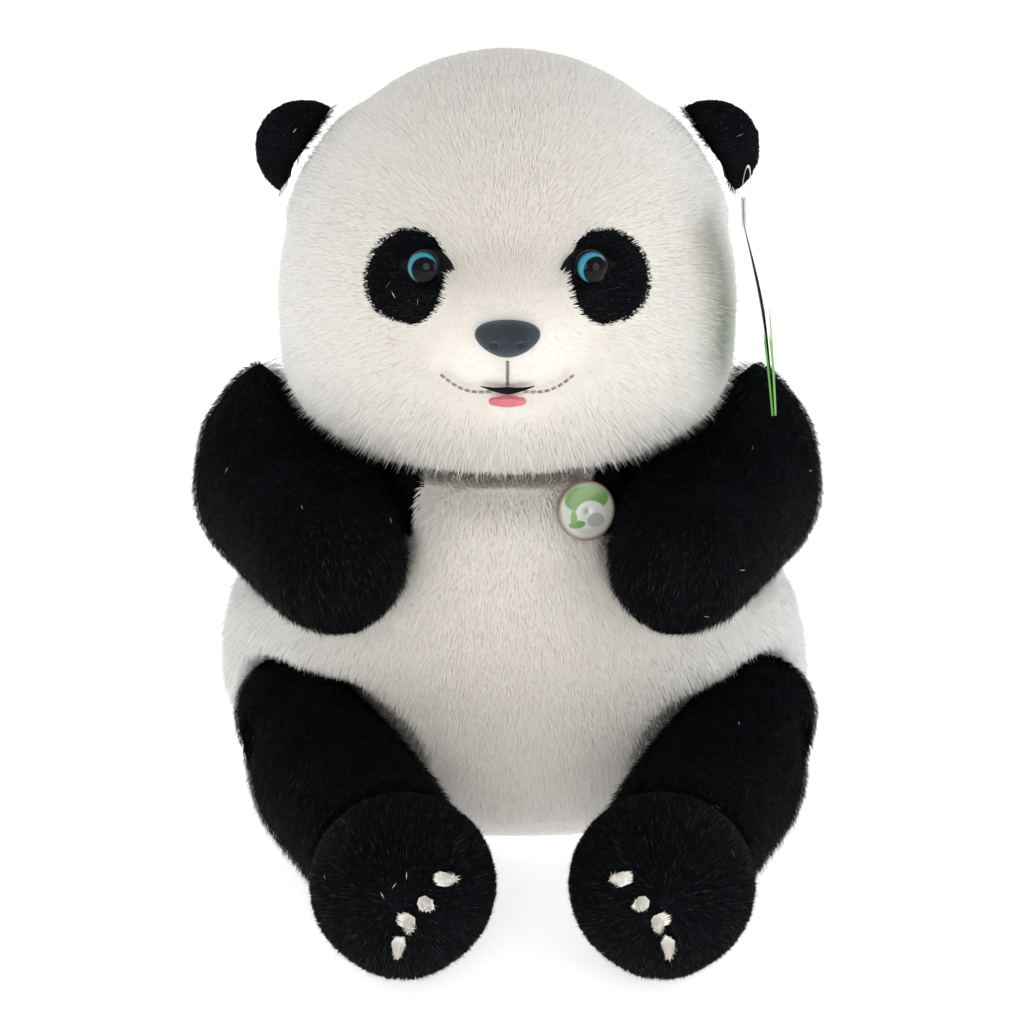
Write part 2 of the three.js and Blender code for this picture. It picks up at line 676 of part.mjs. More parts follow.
function forearm(side, inset, detail) {
  const [elbow, paw] = [mirrored(ARM.elbow, side), mirrored(ARM.paw, side)];
  return capsule(elbow, paw, ARM.elbowRadius, ARM.pawRadius, inset, detail);
}

function armShape(side, inset, detail) {
  const whole = upperArm(side, inset, detail).add(forearm(side, inset, detail));
  return whole.subtract(headRoomForArm(side, inset));
}

/** The head's space as an opening arm meets it. */
function headRoomForArm(side, inset) {
  const pivot = mirrored(ARM.axis, side);
  return swept(headRoom(HEAD_ROOM + inset), pivot, ARM.open.map((angle) => -angle * side));
}

function buildArms() {
  const { middle, direction, radius, length } = ARM.mouth;
  for (const [name, side] of Object.entries(SIDES)) {
    const outer = armShape(side, 0, FINE);
    const inner = armShape(side, SKIN, COARSE);
    const mouth = rod(mirrored(middle, side), mirrored(direction, side), radius, length);
    add(`arm_skin_${name}`, largest(outer.subtract(inner).subtract(mouth)), "black_pile");
    add(`arm_stuffing_${name}`, armShape(side, SKIN + FILLING_GAP, COARSE), "stuffing");
  }
}

function footShape(side, inset, detail = FINE) {
  const ball = ellipsoid(legPlace(FOOT.centre, side), FOOT.radii.map((r) => r - inset), detail);
  return ball.subtract(below(inset + GAP));
}

function legShape(side, inset, detail) {
  const [hip, knee, ankle] = [LEG.hip, LEG.knee, LEG.ankle].map((place) => legPlace(place, side));
  const thigh = capsule(hip, knee, LEG.hipRadius, LEG.kneeRadius, inset, detail);
  const shin = capsule(knee, ankle, LEG.kneeRadius, LEG.ankleRadius, inset, detail);
  return thigh.add(shin).subtract(below(inset + GAP));
}

/** A round opening through which a leg is stuffed and sewn on. */
function legMouth({ direction, radius, length }, place, side) {
  return rod(legPlace(place, side), mirrored(direction, side), radius, length);
}

function buildClaw(name, direction, side) {
  const way = v3(mirrored(direction, side)).normalize();
  const reach = (FOOT.radii[0] + FOOT.radii[1]) / 2 - CLAW.sink;
  const root = v3(legPlace(FOOT.centre, side)).addScaledVector(way, reach);
  const tip = root.clone().addScaledVector(way, CLAW.length);
  const claw = capsule(root.toArray(), tip.toArray(), CLAW.radius, CLAW.tipRadius, 0, CLAW.detail);
  add(name, claw.subtract(footShape(side, -GAP)), "claw_white");
}

function buildLegs() {
  for (const [name, side] of Object.entries(SIDES)) {
    const footSpace = footShape(side, -GAP);
    const ankleMouth = legMouth(LEG.ankleMouth, LEG.ankle, side);
    const hipMouth = legMouth(LEG.hipMouth, LEG.hip, side);
    const leg = legShape(side, 0, FINE).subtract(footSpace).subtract(legShape(side, SKIN, COARSE));
    add(`leg_skin_${name}`, leg.subtract(ankleMouth).subtract(hipMouth), "black_pile");
    const legFilling = legShape(side, SKIN + FILLING_GAP, COARSE).subtract(footSpace);
    add(`leg_stuffing_${name}`, legFilling, "stuffing");
    const foot = footShape(side, 0).subtract(footShape(side, SKIN, COARSE));
    add(`foot_skin_${name}`, foot.subtract(ankleMouth), "black_pile");
    add(`foot_stuffing_${name}`, footShape(side, SKIN + FILLING_GAP, COARSE), "stuffing");
    CLAW_DIRECTIONS.forEach((direction, i) => buildClaw(`claw_${i + 1}_${name}`, direction, side));
  }
}

// ---------------------------------------------------------------- torso
/** How far the body's own middle lies to the panda's left, at a height. */
function torsoLean(z) {
  return TORSO_LEAN * (1 - z / NECK.pivot[2]);
}

/** The body without room for its limbs, each face moved in by inset. */
function barrel(inset, detail) {
  const { bodyAround: around, torsoLevels: steps } = detail;
  const height = TORSO_LEVELS.at(-1)[0];
  const profile = new THREE.CatmullRomCurve3(TORSO_LEVELS.map(v3));
  const rings = profile.getPoints(steps).map(({ x: z, y: halfWidth, z: front }) => {
    const level = inset + z * (1 - (2 * inset) / height);
    return Array.from({ length: around }, (_, i) => {
      const angle = (2 * Math.PI * i) / around;
      const deep = Math.sin(angle) < 0 ? front : front * TORSO_BACK_SHARE;
      const [x, y] = [(halfWidth - inset) * Math.cos(angle), (deep - inset) * Math.sin(angle)];
      return new THREE.Vector3(x + torsoLean(level), y, level);
    });
  });
  const poles = [inset, height - inset].map((z) => new THREE.Vector3(torsoLean(z), 0, z));
  return loft(rings, ...poles);
}

function torsoShape(inset, detail = FINE) {
  let shape = barrel(inset, detail).subtract(headRoom(HEAD_ROOM + inset));
  const grow = -LIMB_ROOM - inset;
  for (const side of Object.values(SIDES)) {
    const armTurns = ARM.open.map((angle) => angle * side);
    const legTurns = LEG.splay.map((angle) => angle * side);
    const lowerArm = swept(forearm(side, grow, COARSE), mirrored(ARM.axis, side), armTurns);
    const leg = swept(legShape(side, grow, COARSE), legPlace(LEG.hip, side), legTurns);
    shape = shape.subtract(upperArm(side, grow, COARSE)).subtract(lowerArm).subtract(leg);
  }
  return shape;
}

/** The black band: over the shoulders and round the back, open in front for the white bib. */
function yokeRegion(grow) {
  const [back, front] = [YOKE.backBottom - grow, YOKE.frontBottom - grow];
  const behind = block([-BIG, -grow, back], [BIG, BIG, BIG]);
  const before = block([-BIG, -BIG, front], [BIG, grow, BIG]);
  const half = BIB.map(([x, z]) => [x - grow, z]);
  const outline = [...half, ...half.map(([x, z]) => [-x, z]).reverse()];
  const shape = new THREE.Shape(outline.map(([x, z]) => new THREE.Vector2(x, z)));
  const bib = new THREE.ExtrudeGeometry(shape, { depth: BIG, bevelEnabled: false });
  bib.rotateX(Math.PI / 2).translate(0, -grow, 0);
  return behind.add(before.subtract(solid(bib)));
}

/** The depth of the belly, or of the back, at a place. */
function barrelY(x, z, front) {
  const at = TORSO_LEVELS.findIndex(([level]) => level >= z);
  const [low, high] = [TORSO_LEVELS[at - 1], TORSO_LEVELS[at]];
  const share = (z - low[0]) / (high[0] - low[0]);
  const [halfWidth, deep] = [1, 2].map((i) => low[i] + share * (high[i] - low[i]));
  const depth = deep * Math.sqrt(1 - ((x - torsoLean(z)) / halfWidth) ** 2);
  return front ? -depth : depth * TORSO_BACK_SHARE;
}

function tailShape(inset) {
  return ellipsoid(TAIL.centre, TAIL.radii.map((r) => r - inset), inset > 0 ? COARSE : FINE);
}

function pellets(grow) {
  const floor = SKIN + 2 * GAP - grow;
  const bag = ellipsoid(PELLETS.centre, PELLETS.radii.map((r) => r + grow));
  return bag.subtract(below(floor));
}

function buildTorso() {
  const inner = torsoShape(SKIN, COARSE);
  const tailSpace = tailShape(-GAP);
  const shell = torsoShape(0).subtract(inner).subtract(neckHole()).subtract(tailSpace);
  add("torso_skin", largest(shell.subtract(yokeRegion(GAP))), "white_pile");
  add("shoulder_yoke", largest(shell.intersect(yokeRegion(0))), "black_pile");
  const hollow = torsoShape(SKIN + FILLING_GAP, COARSE);
  const tieRoom = rod(NECK.pivot, [0, 0, 1], NECK.tieRadius + NECK.tieThickness + GAP, 3 * NECK.tieThickness);
  add("torso_stuffing", hollow.subtract(pellets(GAP)).subtract(tieRoom).subtract(tailSpace), "stuffing");
  add("pellet_bag", pellets(0).intersect(hollow), "bag_cloth");
  const [tailX, tailY, tailZ] = TAIL.centre;
  const tailMouth = rod([tailX, tailY - TAIL.radii[1], tailZ], [0, 1, 0], TAIL.mouthRadius, TAIL.radii[1]);
  add("tail_skin", tailShape(0).subtract(tailShape(TAIL.wall)).subtract(tailMouth), "white_pile");
  add("tail_stuffing", tailShape(TAIL.wall + GAP), "stuffing");
}

/** The cord that gathers the neck, between the head and the body. */
function buildNeckTie() {
  const ring = new THREE.TorusGeometry(NECK.tieRadius, NECK.tieThickness / 2, 6, 18);
  ring.translate(...NECK.pivot);
  add("neck_tie", solid(ring), "thread");
}

/** The zigzag thread that closes the opening in the back. */
function buildClosingSeam() {
  const away = SEAM.thread + 4 * GAP;
  const points = Array.from({ length: SEAM.stitches }, (_, i) => {
    const z = SEAM.bottom + ((SEAM.top - SEAM.bottom) * i) / (SEAM.stitches - 1);
    const x = i % 2 ? SEAM.half : -SEAM.half;
    return [x, barrelY(x, z, false) + away, z];
  });
  add("closing_seam", solid(threadGeometry(points, SEAM.thread, 2, 24)), "thread");
}

/** A blank satin label, sewn to the back beside the tail and hanging down. */
function buildCareLabel() {
  const { x, bottom, width, length, thickness } = LABEL;
  const top = bottom + length;
  const turn = THREE.MathUtils.degToRad(LABEL.turn);
  const normal = [-Math.sin(turn), Math.cos(turn), 0];
  const label = new THREE.BoxGeometry(width, length, thickness);
  const [px, py] = along([x, barrelY(x, top, false), 0], normal, LABEL.stand + thickness / 2);
  add("care_label", facing(label, [px, py, bottom + length / 2], normal), "satin");
}

// ---------------------------------------------------------------- pin badge
/** Places a geometry on the badge's axis, where its own z = 0 is the badge's back edge. */
function onBadge(geometry) {
  const [x, z] = BADGE.place;
  return facing(geometry, along([x, barrelY(x, z, true), z], BADGE.normal, BADGE.stand), BADGE.normal);
}

/** A round piece of the badge, from [distance out, radius] pairs that close on the axis or on themselves. */
function badgeRound(profile) {
  const geometry = new THREE.LatheGeometry(profile.map(([d, r]) => new THREE.Vector2(r, d)), 20);
  return onBadge(geometry.rotateX(Math.PI / 2));
}

function buildBadge() {
  add("badge_face", badgeRound([...BADGE.outside, ...BADGE.inside, BADGE.outside[0]]), "tin");
  const { near, far, radius } = BADGE_BACK;
  add("badge_back", badgeRound([[near, 0], [near, radius], [far, radius], [far, 0]]), "steel");
  const bow = [
    [-PIN.half, 0, PIN.low],
    [0, PIN.rise, PIN.low],
    [PIN.half, 0, PIN.low],
    [PIN.half + PIN.reach, -PIN.drop / 2, PIN.low],
    [PIN.half, -PIN.drop, PIN.low],
    [-PIN.half, -PIN.drop, PIN.low],
  ];
  add("badge_pin", onBadge(threadGeometry(bow, PIN.wire, 2, 20)), "steel");
}

buildHead();
buildNoseAndMouth();
buildEars();
buildTag();
buildNeckTie();
buildTorso();
buildClosingSeam();
buildCareLabel();
buildBadge();
buildArms();
buildLegs();

export default group;
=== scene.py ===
"""The looks of a sitting plush panda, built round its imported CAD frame.

Metres, +Z up, the face toward -Y. Left and right are the panda's own, and +X is its left.
"""

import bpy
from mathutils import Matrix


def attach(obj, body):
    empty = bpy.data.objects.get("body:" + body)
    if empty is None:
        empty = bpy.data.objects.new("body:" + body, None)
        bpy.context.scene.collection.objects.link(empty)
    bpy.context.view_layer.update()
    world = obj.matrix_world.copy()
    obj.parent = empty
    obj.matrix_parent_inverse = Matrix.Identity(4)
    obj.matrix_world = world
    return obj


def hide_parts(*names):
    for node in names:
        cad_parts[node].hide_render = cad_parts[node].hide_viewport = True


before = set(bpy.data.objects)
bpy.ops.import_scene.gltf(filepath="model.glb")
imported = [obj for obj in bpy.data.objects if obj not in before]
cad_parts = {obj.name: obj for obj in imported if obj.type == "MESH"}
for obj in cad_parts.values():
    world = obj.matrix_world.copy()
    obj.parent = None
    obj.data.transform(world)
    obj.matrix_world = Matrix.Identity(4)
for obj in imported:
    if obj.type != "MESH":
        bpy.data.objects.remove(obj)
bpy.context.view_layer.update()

import math

import bpy
import numpy as np
from mathutils import Matrix, Vector
from mathutils.bvhtree import BVHTree

SIDES = {"left": 1, "right": -1}

# ---------------------------------------------------------------- the view and the light
CAMERA_PLACE = (0, -1.0997, 0.6024)
CAMERA_TILT = math.radians(23.47)
CAMERA_LENS = 95.2
CAMERA_SHIFT = 0.0044
CAMERA_REACH = (0.01, 20)
LIGHT_AIM = (0, 0, 0.17)
COOL_LIGHT = (0.9, 0.95, 1)
LIGHTS = (  # name, place, size, power, colour
    ("key", (-0.3, -1.7, 0.8), 0.9, 7.5, (1, 1, 1)),
    ("fill", (1.1, -1.2, 0.6), 0.9, 5, (0.95, 0.97, 1)),
    ("rim_left", (-1.3, 0.5, 0.9), 0.7, 2.5, COOL_LIGHT),
    ("rim_right", (1.3, 0.5, 0.9), 0.7, 4, COOL_LIGHT),
)
SURROUNDING_LIGHT = 0.66
FLOOR_SIZE = 12
FLOOR_DROP = 0.0004  # keeps the floor off the faces that stand on it
FLOOR_GLOW = 0.62

# ---------------------------------------------------------------- covers, in metres
SHELLS = {  # the size of a voxel, and the rounds of smoothing
    "head": (0.0032, 3),
    "torso": (0.0042, 3),
    "tail": (0.003, 2),
    "arm": (0.0038, 6),
    "leg": (0.0036, 3),
    "foot": (0.0036, 3),
    "ear": (0.0026, 3),
    "nose": (0.0007, 3),
    "tongue": (0.0005, 4),
}
PUFF_CAP = 0.0012
PUFF_PRESSURE = 4.0
PUFF_FRAMES = 12
STUFFED = 0.8
LIGHTLY_STUFFED = 0.5
BACKING_DEPTH = 0.0028  # how far a cover lies under the tips of its pile
ARM_DEPTH = 0.0014
EAR_DEPTH = 0.0014
HEAD_DEPTH = 0.0046
MUZZLE_DEPTH = 0.0011
PATCH_DEPTH = 0.0012
HIP_DEPTH_SHARE = 0.2
ARM_TOP = (0.162, 0.182)  # the heights between which the top of an arm grows rounder
ARM_TOP_ROUNDS = 30

# ---------------------------------------------------------------- pile: lengths in metres, blades per m2
HEAD_PILE = 0.0052
CHIN_PILE = 0.0130
BEHIND_EAR_PILE = 0.006  # how much longer the pile is round the ears
FILLING_PILE = 0.0070  # how much longer the pile is where it closes a gap to the next part
BODY_PILE = 0.0053
NECK_PILE = 0.0105
BLACK_PILE = 0.0056
SHORT_PILE = 0.0022
PATCH_PILE = 0.0030
EAR_PILE = 0.0024
TAIL_PILE = 0.0065
CLAW_PILE = 0.0036
FOOT_SHARE = 0.85
WHITE_DENSITY = 3.1e6
BLACK_DENSITY = 1.7e6
FINE_DENSITY = 3.2e6
CLAW_DENSITY = 9e6
FACES_PER_PIECE = 190_000
BLADE_WIDTH = 0.00022
BLADE_ROOT = 0.0005  # how far a blade starts under its cloth
BLADE_WILD = 0.11  # how far a blade turns off the comb
LENGTH_SPREAD = (0.8, 1.08)
WIDTH_SPREAD = (0.7, 1.3)
TIP_LEAN = 0.35
TIP_FALL = 0.1
GUARD_WIDTH = 0.8
UNDERCOAT_SHARE = 0.88
UNDERCOAT = {"wild": 0.6, "lean": 1.7, "length": 0.85, "width": 1.7}  # times what other blades have
LINT_SPACING = 3000  # blades for each bit of lint
LINT_LENGTH = 0.004
LINT_WIDTH = 0.00016
LINT_LEAN = 6.0
LINT_HEIGHT = 0.75
BLACK_SHADES = (0.76, 0.21, 0.03)

# ---------------------------------------------------------------- places on the panda, in metres
NOSE_TIP = np.array([0, -0.112, 0.246])
MOUTH_MIDDLE = np.array([0, -0.105, 0.231])
HEAD_MIDDLE = np.array([0, -0.006, 0.245])
EAR_MIDDLE = np.array([0.078, 0.004, 0.285])
EAR_BASE = np.array([0.068, 0.008, 0.275])
EYE_NORMAL = (0.27, -0.92, 0.26)
BADGE_NORMAL = (0.3, -0.92, 0.26)
PATCH = {"centre": (0.0395, 0.2612), "half": (0.0146, 0.0188), "lean": math.radians(40)}
PATCH_FRONT = -0.04
FAR_OUTSIDE = 9.0
EYE_OPENING = {"centre": (0.032, 0.267), "half": (0.0098, 0.0072)}
NOSE_OPENING = {"height": 0.246, "half": (0.0125, 0.0075)}
TONGUE_OPENING = {"height": 0.2195, "half": (0.0085, 0.0042)}
PHILTRUM_OPENING = {"half_width": 0.0009, "heights": (0.222, 0.24)}
MUZZLE_FRONT = -0.09
# ranges over which something grows from none to all
MUZZLE_COVER_REACH = (0.02, 0.052)  # from the middle of the mouth
MUZZLE_PILE_REACH = (0.018, 0.055)
PATCH_EDGE = (0.85, 1.15)  # in half sizes of the patch
CHIN_HEIGHTS = (0.222, 0.190)
EAR_REACH = (0.034, 0.022)  # from the middle of the ear
NECK_HEIGHTS = (0.146, 0.160)
ARM_TOP_HEIGHTS = (0.155, 0.175)
HIP_SIDES = (0.065, 0.085)
HIP_FRONTS = (0.03, 0.0)
HIP_BOTTOMS = (0.03, 0.05)
HIP_TOPS = (0.105, 0.085)
BODY_SEAT = (0.0, 0.012)
LIMB_SEAT = (0.0, 0.01)
SEAT_PILE = (0.004, 0.02)
SEAT_PILE_SHARE = 0.35
# painted light: away from the middle of the front, more and more white blades take a cool shade, a painted
# tint of cool rim light
PAINTED_TINT_RANGE = (0.5, 1.2)
PAINTED_LIGHT_REACH = (0.09, 0.1)  # across and up: the oval in which the white pile stays free of the painted cool tint
FACING = (0.35, 0.8)
FACE_FRONT = -0.06
BIB = ((0.100, 0.131, 0.146, 0.200), (0.053, 0.053, 0.038, 0.030))  # heights, and half widths there
YOKE_FRONT_BOTTOM = 0.128
YOKE_BACK_BOTTOM = 0.118
# the middles of the painted light on the white pile of the body and of the head
BODY_PAINTED_LIGHT_MIDDLE = (0, 0, 0.1)
HEAD_PAINTED_LIGHT_MIDDLE = (0, 0, 0.25)
FLOOR_MARGIN = {"body": 0.006, "limb": 0.005}  # no pile below these heights
MOUTH_HALF_WIDTH = 0.0106
MOUTH_WIDENING = 2.2
DOWN = np.array([0, 0, -1.0])

# ---------------------------------------------------------------- eyes, badge, tag and label, in metres
DOME_HEIGHTS = (0.0003, 0.0046)  # its straight edge, and the curve over it
DOME_RADIUS = 0.0071
DOME_STEPS = 10
IRIS_RADIUS = 0.0058
PUPIL_RADIUS = 0.0054
# the pupil sits off centre the same way in both eyes, so the blue crescent shows on the same side of each:
# the blue iris is real, and its one-sided crescent is a painted highlight
PUPIL_SHIFT_FOR_PAINTED_HIGHLIGHT = (0.0012, -0.0012)
IRIS_BLUE = (0.04, 0.27, 0.36)
PUPIL_BLACK = (0.002, 0.002, 0.003)
BADGE_PROFILE = (  # distance out and radius, over the front and back along the hollow
    (0.0, 0.0119), (0.0, 0.0125), (0.0014, 0.01248), (0.0019, 0.0122), (0.0023, 0.0115),
    (0.0026, 0.0104), (0.0028, 0.0085), (0.0029, 0.006), (0.003, 0.003), (0.003, 0.0001),
    (0.0025, 0.0001), (0.0024, 0.005), (0.0013, 0.0118), (0.0001, 0.0119),
)
BADGE_EDGE = (0.30, 0.22, 0.15)
BADGE_PICTURE = (  # ovals, one over the other: centre, half size, colour
    ((0, 0), (0.0112, 0.0112), (0.56, 0.58, 0.52)),
    ((0, 0.0052), (0.0096, 0.0056), (0.15, 0.30, 0.08)),
    ((0.0010, -0.0016), (0.0066, 0.0058), (0.66, 0.67, 0.64)),
    ((0.0032, -0.0040), (0.0038, 0.0030), (0.42, 0.43, 0.42)),
    ((-0.0050, -0.0050), (0.0036, 0.0016), (0.16, 0.34, 0.09)),
    ((-0.0062, -0.0020), (0.0014, 0.0030), (0.22, 0.42, 0.12)),
)
TAG_LEAVES = (  # CAD node, how far it bows, material, slot, colour, colour of its foot
    ("tag_front", 0.0030, "card_white", "card", (0.90, 0.90, 0.87), (0.18, 0.42, 0.12)),
    ("tag_back", 0.0018, "card_green", "card_green", (0.80, 0.82, 0.74), (0.12, 0.30, 0.07)),
)
TAG_TOP = 0.279
TAG_HEIGHT = 0.084
TAG_BACK_EDGE = -0.027
TAG_WIDTH = 0.042
TAG_SHIFT = 0.0035
TAG_TWIST = 0.0030
TAG_FOOT = {"place": (0.101, -0.05, 0.210), "half": (0.05, 0.024)}
STRING_TOP = 0.287
STRING_HEIGHT = 0.012
STRING_DRAWN = 0.75
LABEL_TOP = 0.046
LABEL_HEIGHT = 0.026
LABEL_CURL = 0.0022


# ---------------------------------------------------------------- numbers on arrays
def smoothstep(low, high, value):
    t = np.clip((value - low) / (high - low), 0, 1)
    return t * t * (3 - 2 * t)


def unit(vectors):
    return vectors / np.maximum(np.linalg.norm(vectors, axis=-1, keepdims=True), 1e-12)


def tangent(vectors, normals):
    """The part of each vector that lies along the surface."""
    return vectors - (vectors * normals).sum(-1, keepdims=True) * normals


# ---------------------------------------------------------------- meshes
def points_of(mesh):
    found = np.empty(len(mesh.vertices) * 3, np.float32)
    mesh.vertices.foreach_get("co", found)
    return found.reshape(-1, 3).astype(float)


def normals_of(mesh):
    found = np.empty(len(mesh.vertices) * 3, np.float32)
    mesh.vertex_normals.foreach_get("vector", found)
    return found.reshape(-1, 3).astype(float)


def set_points(mesh, points):
    mesh.vertices.foreach_set("co", points.astype(np.float32).ravel())
    mesh.update()


def new_object(name, mesh):
    made = bpy.data.objects.new(name, mesh)
    bpy.context.scene.collection.objects.link(made)
    return made


def applied(obj):
    """The object's mesh with its modifiers, in place of the mesh it had."""
    bpy.context.view_layer.update()
    graph = bpy.context.evaluated_depsgraph_get()
    mesh = bpy.data.meshes.new_from_object(obj.evaluated_get(graph), depsgraph=graph)
    obj.modifiers.clear()
    obj.data = mesh
    return obj


def joined_mesh(name, nodes):
    """One mesh of several CAD nodes."""
    corners, faces, start = [], [], 0
    for node in nodes:
        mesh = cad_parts[node].data
        corners.append(points_of(mesh))
        faces += [[start + corner for corner in face] for face in faces_of(mesh)]
        start += len(mesh.vertices)
    made = bpy.data.meshes.new(name)
    made.from_pydata(np.concatenate(corners).tolist(), [], faces)
    return made


def faces_of(mesh):
    return [list(face.vertices) for face in mesh.polygons]


def ends_of_edges(mesh):
    found = np.empty(len(mesh.edges) * 2, np.int32)
    mesh.edges.foreach_get("vertices", found)
    return found.reshape(-1, 2).T


def part_of(name, mesh, faces):
    """A smooth mesh of some faces of a mesh, each given as its corners."""
    used = np.unique([corner for face in faces for corner in face])
    index = np.full(len(mesh.vertices), -1)
    index[used] = np.arange(len(used))
    made = bpy.data.meshes.new(name)
    made.from_pydata(points_of(mesh)[used].tolist(), [], [index[face].tolist() for face in faces])
    made.polygons.foreach_set("use_smooth", np.ones(len(faces), bool))
    return made


def biggest_island(mesh):
    """The mesh without its loose parts, in a new mesh."""
    a, b = ends_of_edges(mesh)
    label = np.arange(len(mesh.vertices))
    while True:
        low = np.minimum(label[a], label[b])
        before = label.copy()
        np.minimum.at(label, a, low)
        np.minimum.at(label, b, low)
        label = label[label]
        if (label == before).all():
            break
    places = points_of(mesh)
    biggest = max(np.unique(label), key=lambda one: np.ptp(places[label == one], axis=0).prod())
    return part_of(mesh.name, mesh, [face for face in faces_of(mesh) if label[face[0]] == biggest])


def smoothed(mesh, rounds, share=0.5, where=None):
    """Evens out a mesh, or only the part of it where a function of its points says so."""
    a, b = ends_of_edges(mesh)
    places = points_of(mesh)
    degree = np.bincount(np.concatenate([a, b]), minlength=len(places))[:, None]
    if where is not None:
        share = share * where(places)[:, None]
    for _ in range(rounds):
        total = np.zeros_like(places)
        np.add.at(total, a, places[b])
        np.add.at(total, b, places[a])
        places += share * (total / np.maximum(degree, 1) - places)
    set_points(mesh, places)


def shell_of(name, part, nodes):
    """One closed surface round CAD nodes, whose inner faces and gaps are gone."""
    voxel, rounds = SHELLS[part]
    made = new_object(name, joined_mesh(name, nodes))
    remesh = made.modifiers.new("remesh", "REMESH")
    remesh.mode = "VOXEL"
    remesh.voxel_size = voxel
    applied(made)
    made.data = biggest_island(made.data)
    smoothed(made.data, rounds)
    return made


def move_in(obj, depth):
    """Moves each point in along its normal. depth is a number or a function of the points."""
    places, normals = points_of(obj.data), normals_of(obj.data)
    amount = depth(places) if callable(depth) else np.full(len(places), depth)
    set_points(obj.data, places - normals * amount[:, None])


def divided(obj, levels=1, kind="CATMULL_CLARK"):
    """Puts a modifier on an object that divides each face in four, as often as levels says."""
    divide = obj.modifiers.new("divide", "SUBSURF")
    divide.subdivision_type = kind
    divide.levels = divide.render_levels = levels
    return obj


def finer(obj):
    applied(divided(obj))


def puffed(obj):
    """The cloth bulges a little, under the pressure of its filling."""
    rest = points_of(obj.data)
    cloth = obj.modifiers.new("cloth", "CLOTH")
    cloth.settings.use_pressure = True
    cloth.settings.uniform_pressure_force = PUFF_PRESSURE
    cloth.settings.quality = 4
    cloth.settings.effector_weights.gravity = 0
    cloth.point_cache.frame_start = 1
    cloth.point_cache.frame_end = PUFF_FRAMES
    for at in range(1, PUFF_FRAMES + 1):
        bpy.context.scene.frame_set(at)
    applied(obj)
    moved = points_of(obj.data) - rest
    length = np.linalg.norm(moved, axis=1, keepdims=True)
    places = rest + moved * np.minimum(1, PUFF_CAP / np.maximum(length, 1e-9))
    places[:, 2] = np.maximum(places[:, 2], 0)  # the seat and the feet stay flat on the floor
    set_points(obj.data, places)
    bpy.context.scene.frame_set(1)


# ---------------------------------------------------------------- materials
def material(name, **values):
    made = bpy.data.materials.new(name)
    made.use_nodes = True
    shader = made.node_tree.nodes["Principled BSDF"]
    for socket, value in values.items():
        shader.inputs[socket.replace("_", " ")].default_value = value
    return made


def pile_material(name, colour, rough=0.9, specular=0.1, sheen=0.0, tint=(1, 1, 1)):
    return material(
        name,
        Base_Color=(*colour, 1),
        Roughness=rough,
        Specular_IOR_Level=specular,
        Sheen_Weight=sheen,
        Sheen_Roughness=0.5,
        Sheen_Tint=(*tint, 1),
    )


def node(tree, kind, **sockets):
    made = tree.nodes.new(kind)
    for key, value in sockets.items():
        name = key.replace("_", " ")
        if isinstance(value, bpy.types.NodeSocket):
            tree.links.new(value, made.inputs[name])
        elif name in made.inputs:
            made.inputs[name].default_value = value
        else:
            setattr(made, key, value)
    return made


def colour_ramp(tree, factor, stops):
    made = node(tree, "ShaderNodeValToRGB", Fac=factor)
    ramp = made.color_ramp
    while len(ramp.elements) < len(stops):
        ramp.elements.new(0.5)
    for element, (place, colour) in zip(ramp.elements, stops):
        element.position, element.color = place, (*colour, 1)
    return made.outputs["Color"]


def bump(tree, height, strength, distance):
    made = node(tree, "ShaderNodeBump", Height=height, Strength=strength, Distance=distance)
    return made.outputs["Normal"]


def cloth_material(name, dark, light, grain, strength, rough, sheen=0.0, tint=(1, 1, 1), specular=0.1):
    """A fibrous surface: mottled between two colours, with a fine nap, at a grain in metres."""
    made = pile_material(name, dark, rough, specular, sheen, tint)
    tree = made.node_tree
    shader = tree.nodes["Principled BSDF"]
    place = node(tree, "ShaderNodeTexCoord").outputs["Object"]
    mottle = node(tree, "ShaderNodeTexNoise", Vector=place, Scale=0.06 / grain, Detail=4.0)
    nap = node(tree, "ShaderNodeTexNoise", Vector=place, Scale=1 / grain, Detail=3.0, Roughness=0.7)
    colour = colour_ramp(tree, mottle.outputs["Fac"], [(0.3, dark), (0.7, light)])
    tree.links.new(colour, shader.inputs["Base Color"])
    tree.links.new(bump(tree, nap.outputs["Fac"], strength, grain), shader.inputs["Normal"])
    return made


WHITE_SKIN = cloth_material("white_backing", (0.80, 0.76, 0.69), (0.85, 0.82, 0.77), 0.0012, 0.4, 1.0)
BLACK_SKIN = cloth_material(
    "black_backing",
    (0.002, 0.002, 0.003), (0.006, 0.006, 0.008),
    0.0012, 0.6, 0.95, 0.02, (0.5, 0.7, 0.9), 0.03,
)
CREAM, WHITE, PAINTED_COOL_TINT = range(3)
# the third white shade is painted light: a cool tint that stands in for cool rim light on the sides and the
# back
WHITE_PILE = [
    pile_material("pile_cream", (0.84, 0.795, 0.715)),
    pile_material("pile_white", (0.85, 0.82, 0.76)),
    pile_material("pile_painted_cool_tint", (0.83, 0.825, 0.81)),
]
BLACK, SOFT_BLACK, BLACK_TIPS, LINT = range(4)
BLACK_PILES = [
    pile_material("pile_black", (0.0018, 0.0022, 0.0030), 0.8, 0.06),
    pile_material("pile_black_soft", (0.005, 0.006, 0.008), 0.7, 0.10),
    pile_material("pile_black_tips", (0.014, 0.017, 0.022), 0.6, 0.15),
    pile_material("lint", (0.55, 0.56, 0.58), 0.8, 0.1),
]


